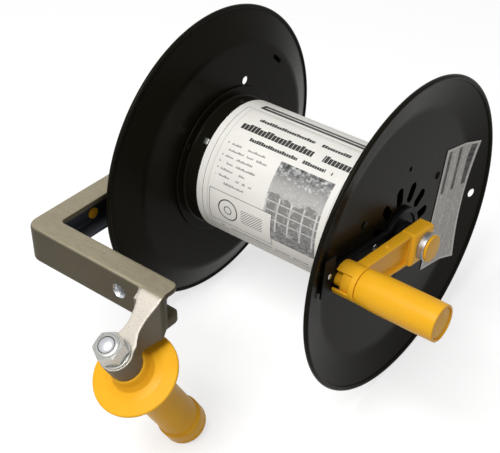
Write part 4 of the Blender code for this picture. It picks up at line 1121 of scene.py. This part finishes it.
def casting(v):
    fromFrame = onFrame.inverted()
    depth = (v.depthAtAxle + v.depthAtGrip) / 2
    outlines = [channelOutline(v, (v.outer, 0), (v.inner, 0), v.depthAtAxle)]
    share = v.innerCorner / v.corner
    for i in range(13):
        out, along = atAngle(v.corner, 90 * i / 12)
        outer = (v.outer + v.corner - out, v.reach - v.corner + along)
        reach = v.reach - v.width - v.innerCorner + along * share
        outlines.append(channelOutline(v, outer, (v.inner + v.innerCorner - out * share, reach), depth))
    for i in range(13):
        across, along = atAngle(v.endRound, 90 * i / 12)
        x = v.endX - v.endRound + along
        outer, inner = (x, v.reach), (x, v.reach - v.width)
        outlines.append(channelOutline(v, outer, inner, v.depthAtGrip, v.endRound - across))
    body = solid("frameCasting", lofted(outlines))
    boss = rod("axleBoss", v.bossRadius, v.outer - v.bossProud, v.inner + v.bossProud)
    bossReach, bossHeight = onGripAxis(v, 0, -v.gripBoss)
    x, top = reel.gripX, v.top - sliver
    low, half = v.top - v.depthAtGrip + sliver, v.linkHalf[0][1]
    outlines = [linkOutline(x, v.reach - v.wall / 2, half, low, top)]
    armLow, bossLow = v.top - v.linkDepthAtArm, bossHeight - v.linkDepthAtBoss
    for share, half in v.linkHalf:
        reach = v.reach + sliver + (bossReach - v.reach) * share
        low = armLow + (bossLow - armLow) * share
        outlines.append(linkOutline(x, reach, half, low, top + (bossHeight - top) * share))
    inside = bossReach + v.gripBoss / 2
    outlines.append(linkOutline(x, inside, 0.0105, bossLow, bossHeight - v.gripBoss / 3))
    link = solid("link", lofted(outlines))
    half = (v.linkHalf[0][1] + v.tab - v.tabInside) / 2
    outlines = []
    for share, reach in ((0, -0.002), (v.tabLength / (bossReach - v.reach), v.tabLength)):
        high = top + (bossHeight - top) * share
        outlines.append(linkOutline(x - v.tabInside - half, v.reach + reach, half, high - v.tabDepth, high))
    tab = solid("linkTab", lofted(outlines))
    left, back, front = v.endX - v.padLength, v.wall / 2 - v.reach, v.width - v.reach
    outline = [(left, back), (v.endX, back)]
    for i in range(9):
        along, across = atAngle(v.endRound, 90 * i / 8)
        outline.append((v.endX - v.endRound + along, front - v.endRound + across))
    outline.append((left, front))
    low = v.top - v.depthAtGrip - v.padDrop
    pad = solid("endPad", lofted([[(a, b, z) for a, b in outline] for z in (low, low + v.padHeight)]))
    gripBoss = rod("gripBoss", v.gripBoss, 0, v.gripBossLength, 96, fromFrame @ onGrip)
    combined(body, [boss, link, tab, pad, gripBoss], "UNION")
    softened(body, v.voxel, 4)
    plug = block(circle(v.plugHole, 48, v.plug), v.outer - 0.02, v.outer + v.wall + 0.0025)
    rings = []
    bored, sunk = v.postRadius, v.postSink
    for past, radius in ((-2 * v.wall, bored), (-0.0018, bored), (0.0004, sunk), (0.003, sunk)):
        rings.append([(a, -v.reach - past, b) for a, b in circle(radius, 64, v.post)])
    cutters = [
        solid("axleCutter", block(circle(v.bolt, 64), v.outer - 0.02, v.inner + 0.02)),
        rod("boltCutter", v.bolt, -0.04, v.gripBossLength + 0.04, 64, fromFrame @ onGrip),
        solid("plugCutter", plug),
        solid("postCutter", lofted(rings)),
    ]
    combined(body, cutters, "DIFFERENCE")
    body.data.transform(onFrame)
    dressed(body, castAluminium, "frame", ["frame_casting"], 50)
    body.data.materials.append(drilledMetal)  # the drilled post hole is bright inside
    for face in body.data.polygons:
        spot = fromFrame @ face.center
        fromPost = math.hypot(spot.x - v.post[0], spot.z - v.post[1])
        if v.reach - v.wall - 0.001 < -spot.y < v.reach - 0.0001 and fromPost < v.postSink:
            face.material_index = 1


casting(castingValues)
print("casting made")


# The axle, its nut, its collar and its caps
axleValues = Values(
    start=-0.13855,
    stub=0.006,
    shoulder=-0.09965,
    shoulderEnd=-0.09615,
    shoulderRadius=0.0115,
    radius=0.008,
    end=0.115,
    bore=0.0045,
    boreDepth=0.012,
    thread=0.00125,
    threadDepth=0.0004,
)


def threaded(start, end, radius, pitch, depth):
    # A profile of ridges that reads as a screw thread
    points = []
    for i in range(int((end - start) / pitch)):
        points += [(start + i * pitch, radius - depth), (start + (i + 0.5) * pitch, radius)]
    return points


def axleRod(v):
    floor = v.end - v.boreDepth
    profile = [(v.start, 0), (v.start, v.stub * 0.55), (v.start + 0.0006, v.stub - 0.0008)]
    profile += threaded(v.start + 0.001, v.start + 0.0125, v.stub, v.thread, v.threadDepth)
    profile += [(v.start + 0.0135, v.stub), (v.shoulder, v.stub), (v.shoulder, v.shoulderRadius)]
    profile += [(v.shoulderEnd, v.shoulderRadius), (v.shoulderEnd, v.radius), (v.end, v.radius)]
    profile += [(v.end, v.bore), (floor, v.bore), (floor, 0)]
    dressed(solid("axle", turned(profile, 64), onFrame), zincPlate, "frame", ["axle"], 30)


# Plain rings: where each starts and ends along its axis, its bore and its radius
ringValues = Values(
    axleWasher=(-0.12245, -0.12025, 0.0063, 0.0115),
    boltWasher=(-0.0025, -0.0003, 0.0063, 0.0115),
    crankCollar=(0.110, 0.115, 0.0083, 0.0109),
    crankBush=(0.0973, 0.1097, 0.0083, 0.0105),
)


def plainRing(name, node, body, place, size, material, edge=0.0003):
    start, end, bore, radius = size
    profile = [(start, bore), (start, radius), (end, radius), (end, bore)]
    dressed(spun(name, profile, edge, 96, place), material, body, [node])


nutValues = Values(
    flats=0.0196,
    height=0.0116,
    collar=0.009,
    collarHeight=0.0012,
    washer=0.0022,
    bore=0.0063,
)


def hexagon(name, flats, start, end):
    return solid(name, block(circle(flats / math.sqrt(3), 6), start, end))


def lockNut(name, node, place, seat, v):
    # A hexagon nut with chamfered corners and a round locking collar
    base = seat - gap - v.washer - gap
    top = base - v.height
    flat, corner = v.flats / 2, v.flats / math.sqrt(3)
    drop, corner = (corner - flat) * 0.62, corner + 0.0001
    nut = hexagon(name, v.flats, base, top)
    shape = [(base, 0), (base, flat), (base - drop, corner), (top + drop, corner), (top, flat), (top, 0)]
    combined(nut, [solid("nutTurning", turned(shape, 96))], "INTERSECT")
    end = top - v.collarHeight
    collar = [(top + 0.001, 0), (top + 0.001, v.collar), (top - v.collarHeight * 0.4, v.collar)]
    collar += [(end, v.collar * 0.84), (end, 0)]
    combined(nut, [spun("nutCollar", collar, 0.001, 72)], "UNION")
    combined(nut, [rod("nutBore", v.bore, top - 0.005, base + 0.005, 64)], "DIFFERENCE")
    nut.data.transform(place)
    dressed(nut, zincPlate, "frame", [node], 30)


axleRod(axleValues)
plainRing("axleWasher", "axle_washer", "frame", onFrame, ringValues.axleWasher, zincPlate)
lockNut("axleNut", "axle_nut", onFrame, -0.11995, nutValues)
collar = ringValues.crankCollar
plainRing("crankCollar", "crank_collar", "frame", onFrame, collar, drilledMetal, 0.0004)
capProfile = [(0.1063, 0), (0.1063, 0.0042), (0.1153, 0.0042), (0.1153, 0.0107), (0.1173, 0.0107), (0.1173, 0)]
cap = spun("axleEndCap", capProfile, 0.0006, 96, onFrame)
dressed(cap, yellowPlastic, "frame", ["axle_end_cap"])
plugProfile = [(0.00125, 0), (0.00125, 0.0039), (0.0065, 0.0039)]
plugProfile += [(0.0065, 0.00485), (0.0077, 0.0045), (0.0077, 0)]
plugPlace = onFrame @ Matrix.Translation((castingValues.outer, *castingValues.plug))
plug = spun("armPlug", plugProfile, 0.0004, 48, plugPlace)
dressed(plug, yellowPlastic, "frame", ["arm_plug"])
print("axle and fittings made")


# The hand grip, its guard and its bolt, in stations down the grip's own axis
gripValues = Values(
    start=0.0183,
    end=0.134,
    bolt=0.0063,
    topRadius=0.0135,
    neckRadius=0.016,
    neckLength=0.0115,
    guard=0.0323,
    guardStation=0.0338,
    guardThickness=0.003,
    radius=0.0155,
    shoulder=0.010,
    endRadius=0.0172,
    endLength=0.0165,
    endRound=0.003,
    pocket=0.0118,
    pocketDepth=0.011,
    groove=0.0004,
    boltStart=-0.0176,
    boltRadius=0.0059,
    boltHead=0.0075,
    boltHeadEdge=0.0062,
)


def handGrip(v):
    neck, brim = v.start + v.neckLength, v.guardThickness / 2
    profile = [(v.start, v.bolt), (v.start, v.topRadius - 0.0008), (v.start + 0.0008, v.topRadius)]
    profile += [(v.start + v.neckLength * 0.55, v.topRadius + 0.0006), (neck, v.neckRadius)]
    profile.append((neck + 0.0019, v.neckRadius + 0.0058))
    for i in range(13):
        out, along = atAngle(brim, -90 + 15 * i)
        profile.append((v.guardStation + along, v.guard - brim + out))
    fillet = (v.guard - v.radius) / 3
    for i in range(13):
        along, out = atAngle(1, 7.5 * i)
        profile.append((v.guardStation + v.shoulder * (1 - along), v.radius + fillet * (1 - out)))
    ringStart, mark, floor = v.end - v.endLength, v.end - 0.006, v.end - v.pocketDepth
    profile += [(ringStart - 0.0009, v.radius), (ringStart, v.endRadius), (mark - 0.0007, v.endRadius)]
    profile += [(mark, v.endRadius - v.groove), (mark + 0.0007, v.endRadius)]
    for i in range(9):
        along, out = atAngle(v.endRound, 90 - 11.25 * i)
        profile.append((v.end - v.endRound + along, v.endRadius - v.endRound + out))
    profile += [(v.end, v.pocket), (floor, v.pocket), (floor, v.bolt)]
    grip = spun("handGrip", profile, 0.0004, 128, onGrip, 2)
    dressed(grip, yellowPlastic, "frame", ["hand_grip"], 40)


def gripBolt(v):
    start, head, flats = v.boltStart, v.end - v.pocketDepth + gap, nutValues.flats
    profile = [(start, 0), (start + 0.0002, 0.0022), (start + 0.0008, 0.0042), (start + 0.0014, 0.0053)]
    pitch, depth = axleValues.thread, axleValues.threadDepth
    profile += threaded(start + 0.0016, start + 0.0035, v.boltRadius, pitch, depth)
    profile += [(start + 0.005, v.boltRadius), (head + 0.003, v.boltRadius), (head + 0.003, 0)]
    bolt = solid("gripBolt", turned(profile, 64))
    top, corner = head + v.boltHead, flats / math.sqrt(3) + 0.0001
    boltHead = hexagon("boltHead", flats, head, top)
    shape = [(head, 0), (head, corner), (head + v.boltHeadEdge, corner), (top, flats / 2), (top, 0)]
    combined(boltHead, [solid("headTurning", turned(shape, 96))], "INTERSECT")
    combined(bolt, [boltHead], "UNION")
    bolt.data.transform(onGrip)
    dressed(bolt, drilledMetal, "frame", ["grip_bolt"], 30)


handGrip(gripValues)
gripBolt(gripValues)
plainRing("boltWasher", "bolt_washer", "frame", onGrip, ringValues.boltWasher, zincPlate)
lockNut("boltNut", "bolt_nut", onGrip, 0, nutValues)
print("hand grip made")


# The crank: a ribbed arm, a block round its bush and a split socket
crankValues = Values(
    back=0.0973,
    armFront=0.1065,
    hubFront=0.1097,
    hubHalf=0.0136,
    hubEdge=0.0026,
    hubBack=0.0115,
    hubLength=0.0145,
    halfAtHub=0.0134,
    halfAtGrip=0.0112,
    rail=0.0024,
    panelDepth=0.003,
    panelEnd=0.062,
    socket=0.0132,
    socketBore=0.0113,
    socketBack=0.091,
    socketFront=0.1087,
    windowFrom=-19.5,
    windowTo=45.5,
    windowLength=0.0135,
    voxel=0.00042,
)


def armOutline(v, start, end, inset=0.0, half=None):
    def halfAt(reach):
        return v.halfAtHub + (v.halfAtGrip - v.halfAtHub) * reach / reel.crankRadius - inset

    first, last = half or halfAt(start), half or halfAt(end)
    return [(-start, -first), (-end, -last), (-end, last), (-start, first)]


def crankArm(v):
    outline = armOutline(v, -v.hubBack + sliver, reel.crankRadius + v.socketBore / 4)
    arm = solid("crankArm", block(outline, v.back, v.armFront))
    layers = []
    for i in range(8):
        eased, x = atAngle(v.hubEdge, 90 * i / 7)
        ease = v.hubEdge - eased
        shape = armOutline(v, -v.hubBack, v.hubLength - ease, half=v.hubHalf - ease)
        layers.append([(v.hubFront - v.hubEdge + x, y, z) for y, z in shape])
    layers.insert(0, [(v.back + sliver, y, z) for x, y, z in layers[0]])
    atSocket = Matrix.Translation((0, -reel.crankRadius, 0))
    nub = [(-0.0405, 0.011), (-0.0425, 0.011), (-0.0425, 0.0135), (-0.0405, 0.0135)]
    joins = [
        solid("hubBlock", lofted(layers)),
        rod("socket", v.socket, v.socketBack, v.socketFront, 96, atSocket),
        solid("nub", block(nub, v.back + 0.0035, v.back + 0.0055)),
    ]
    combined(arm, joins, "UNION")
    panel = armOutline(v, v.hubLength + v.rail, v.panelEnd, inset=v.rail)
    window = [(0.0, 0.0)]
    for i in range(9):
        out, above = atAngle(2 * v.socket, v.windowFrom + (v.windowTo - v.windowFrom) * i / 8)
        window.append((-out, above))
    cutters = [
        solid("panelCutter", block(panel, v.armFront - v.panelDepth, v.hubFront + 0.001)),
        rod("boreCutter", v.socketBore, v.socketBack - 0.01, v.socketFront + 0.01, 96, atSocket),
        solid("windowCutter", block(window, v.socketBack - 0.006, v.socketBack + v.windowLength), atSocket),
    ]
    combined(arm, cutters, "DIFFERENCE")
    softened(arm, v.voxel, 4)
    hole = solid("bushCutter", block(circle(0.0108, 96), v.back - 0.01, v.hubFront + 0.01))
    combined(arm, [hole], "DIFFERENCE")
    arm.data.transform(onCrank)
    dressed(arm, yellowPlastic, "crank", ["crank_arm"], 50)


crankArm(crankValues)
plainRing("crankBush", "crank_bush", "crank", onCrank, ringValues.crankBush, paleNylon)


# The peg with its sleeve and spindle, and the grip that turns on it
pegValues = Values(
    sleeve=0.0963,
    peg=0.0048,
    pegLength=0.0119,
    sleeveRadius=0.011,
    lug=0.0056,
    lugOut=0.0034,
    lugStart=0.0872,
    lugRound=0.0026,
    front=0.1087,
    spindle=0.006,
    spindleEnd=0.1598,
    screwHole=0.0023,
    screwDepth=0.011,
    gripStart=0.109,
    gripEnd=0.172,
    gripRadius=0.0139,
    gripNeck=0.0132,
    gripWall=0.0022,
    gripRim=0.0009,
)


def pegAndGrip(v):
    tip, hole, end = v.sleeve - v.pegLength, v.spindleEnd - v.screwDepth, v.spindleEnd
    profile = [(tip, 0), (tip, v.peg - 0.001), (tip + 0.001, v.peg), (v.sleeve, v.peg)]
    profile += [(v.sleeve, v.sleeveRadius), (v.front, v.sleeveRadius), (v.front, v.spindle), (end, v.spindle)]
    profile += [(end, v.screwHole), (hole - gap, v.screwHole), (hole - gap, 0)]
    peg = spun("drivePeg", profile, 0.0005)
    lugEnd = v.sleeve + 0.002
    lug = [(v.lugStart, 0), (v.lugStart, v.lug), (lugEnd, v.lug), (lugEnd, 0)]
    combined(peg, [spun("lug", lug, v.lugRound, 64, Matrix.Translation((0, -v.lugOut, 0)))], "UNION")
    peg.data.transform(onPeg)
    dressed(peg, yellowPlastic, "drive_peg", ["drive_peg"])
    start, seat = end + gap, end + 0.0018
    washer = (start, end + 0.0015, 0.0023, 0.0095)
    plainRing("gripWasher", "grip_washer", "drive_peg", onPeg, washer, zincPlate, 0.0002)
    screw = [(hole, 0), (hole, 0.0016)] + threaded(hole + 0.0005, seat - 0.0008, 0.002, 0.0008, 0.0003)
    screw += [(seat, 0.002), (seat, 0.004), (seat + 0.0018, 0.004), (seat + 0.003, 0.0032), (seat + 0.003, 0)]
    dressed(solid("gripScrew", turned(screw, 48), onPeg), zincPlate, "drive_peg", ["grip_screw"])
    pocket, bore = v.gripRadius - v.gripWall, v.spindle + gap
    quarter = (v.gripEnd - v.gripStart) / 4
    barrel = [(v.gripStart, bore), (v.gripStart, v.gripNeck), (v.gripStart + quarter, v.gripRadius)]
    barrel += [(v.gripEnd - quarter, v.gripRadius), (v.gripEnd, v.gripRadius - 0.0001)]
    barrel += [(v.gripEnd, pocket), (end, pocket), (end, bore)]
    grip = spun("crankGrip", barrel, 0.0014, 128, onPeg, 6)
    dressed(grip, yellowPlastic, "crank_grip", ["crank_grip"], 40)
    capEnd, capRadius = v.gripEnd - v.gripRim, pocket - gap
    disc = [(capEnd - 0.0025, 0), (capEnd - 0.0025, capRadius), (capEnd, capRadius), (capEnd, 0)]
    endCap = spun("gripEndCap", disc, 0.0004, 96, onPeg)
    dressed(endCap, yellowPlastic, "crank_grip", ["grip_end_cap"])


pegAndGrip(pegValues)
print("crank made")


# Floor, light and camera
studioValues = Values(
    floorColour=(0.48, 0.48, 0.478, 1),
    floorGlow=0.66,
    ambient=0.31,
    keyPlace=(0.05, -0.9, 1.6),
    keySize=0.8,
    keyPower=24.5,
    fillPlace=(1.4, -0.5, 0.9),
    fillSize=1.2,
    fillPower=0.2,
)


def seenRays(board):
    # 1 for camera, glossy and transmission rays, and 0 for the rest
    path = board.tree.nodes.new("ShaderNodeLightPath")
    names = ("Is Camera Ray", "Is Glossy Ray", "Is Transmission Ray")
    camera, glossy, through = [Wire(board, path.outputs[name]) for name in names]
    return board.maths("MINIMUM", camera + glossy + through, 1)


def studio(v):
    side = 8.0
    corners = [(-side, -side), (side, -side), (side, side), (-side, side)]
    floor = solid("floor", lofted([[(x, y, z) for x, y in corners] for z in (-0.02, -0.0004)]))
    material = bpy.data.materials.new("paleFloor")
    material.use_nodes = True
    board = Board(material.node_tree)
    material.node_tree.nodes.clear()
    paint = board.put("ShaderNodeBsdfDiffuse", None, {"Color": v.floorColour})
    strength = seenRays(board) * v.floorGlow
    glow = board.put("ShaderNodeEmission", None, {"Color": (1, 1, 1, 1), "Strength": strength})
    both = board.put("ShaderNodeAddShader", None, {0: paint, 1: glow})
    board.put("ShaderNodeOutputMaterial", None, {"Surface": both})
    floor.data.materials.append(material)
    world = bpy.data.worlds.new("paleRoom")
    world.use_nodes = True
    bpy.context.scene.world = world
    sky = Board(world.node_tree)
    world.node_tree.nodes.clear()
    strength = v.ambient + seenRays(sky) * (1 - v.ambient)
    back = sky.put("ShaderNodeBackground", None, {"Color": (1, 1, 1, 1), "Strength": strength})
    sky.put("ShaderNodeOutputWorld", None, {"Surface": back})
    for name in ("key", "fill"):
        data = bpy.data.lights.new(name + "Light", "AREA")
        data.size = v[name + "Size"]
        data.energy = v[name + "Power"]
        lamp = bpy.data.objects.new(name + "Light", data)
        lamp.location = v[name + "Place"]
        lamp.rotation_mode = "QUATERNION"
        lamp.rotation_quaternion = (axle - Vector(v[name + "Place"])).to_track_quat("-Z", "Y")
        bpy.context.scene.collection.objects.link(lamp)


studio(studioValues)

# The camera, as the photograph's view was solved: from the drum's middle, before the frame's tilt
cameraValues = Values(
    lens=79.0644,
    place=(0.418821, -0.587288, 0.491430),
    right=(0.777346, 0.629073, 0.0),
    up=(-0.370433, 0.457745, 0.808238),
    back=(0.508441, -0.628281, 0.588856),
)


def camera(v):
    turn = Matrix.Rotation(math.radians(-reel.frameTilt), 3, "X")
    axes = [turn @ Vector(v[name]) for name in ("right", "up", "back")]
    data = bpy.data.cameras.new("camera")
    data.lens = v.lens
    data.sensor_width = 36.0
    data.clip_start = 0.02
    data.clip_end = 60.0
    lens = bpy.data.objects.new("camera", data)
    facing = Matrix([[axis[i] for axis in axes] for i in range(3)]).to_4x4()
    lens.matrix_world = Matrix.Translation(axle + turn @ Vector(v.place)) @ facing
    bpy.context.scene.collection.objects.link(lens)
    bpy.context.scene.camera = lens


camera(cameraValues)
bpy.context.scene.view_settings.view_transform = "Standard"

print("scene ready")
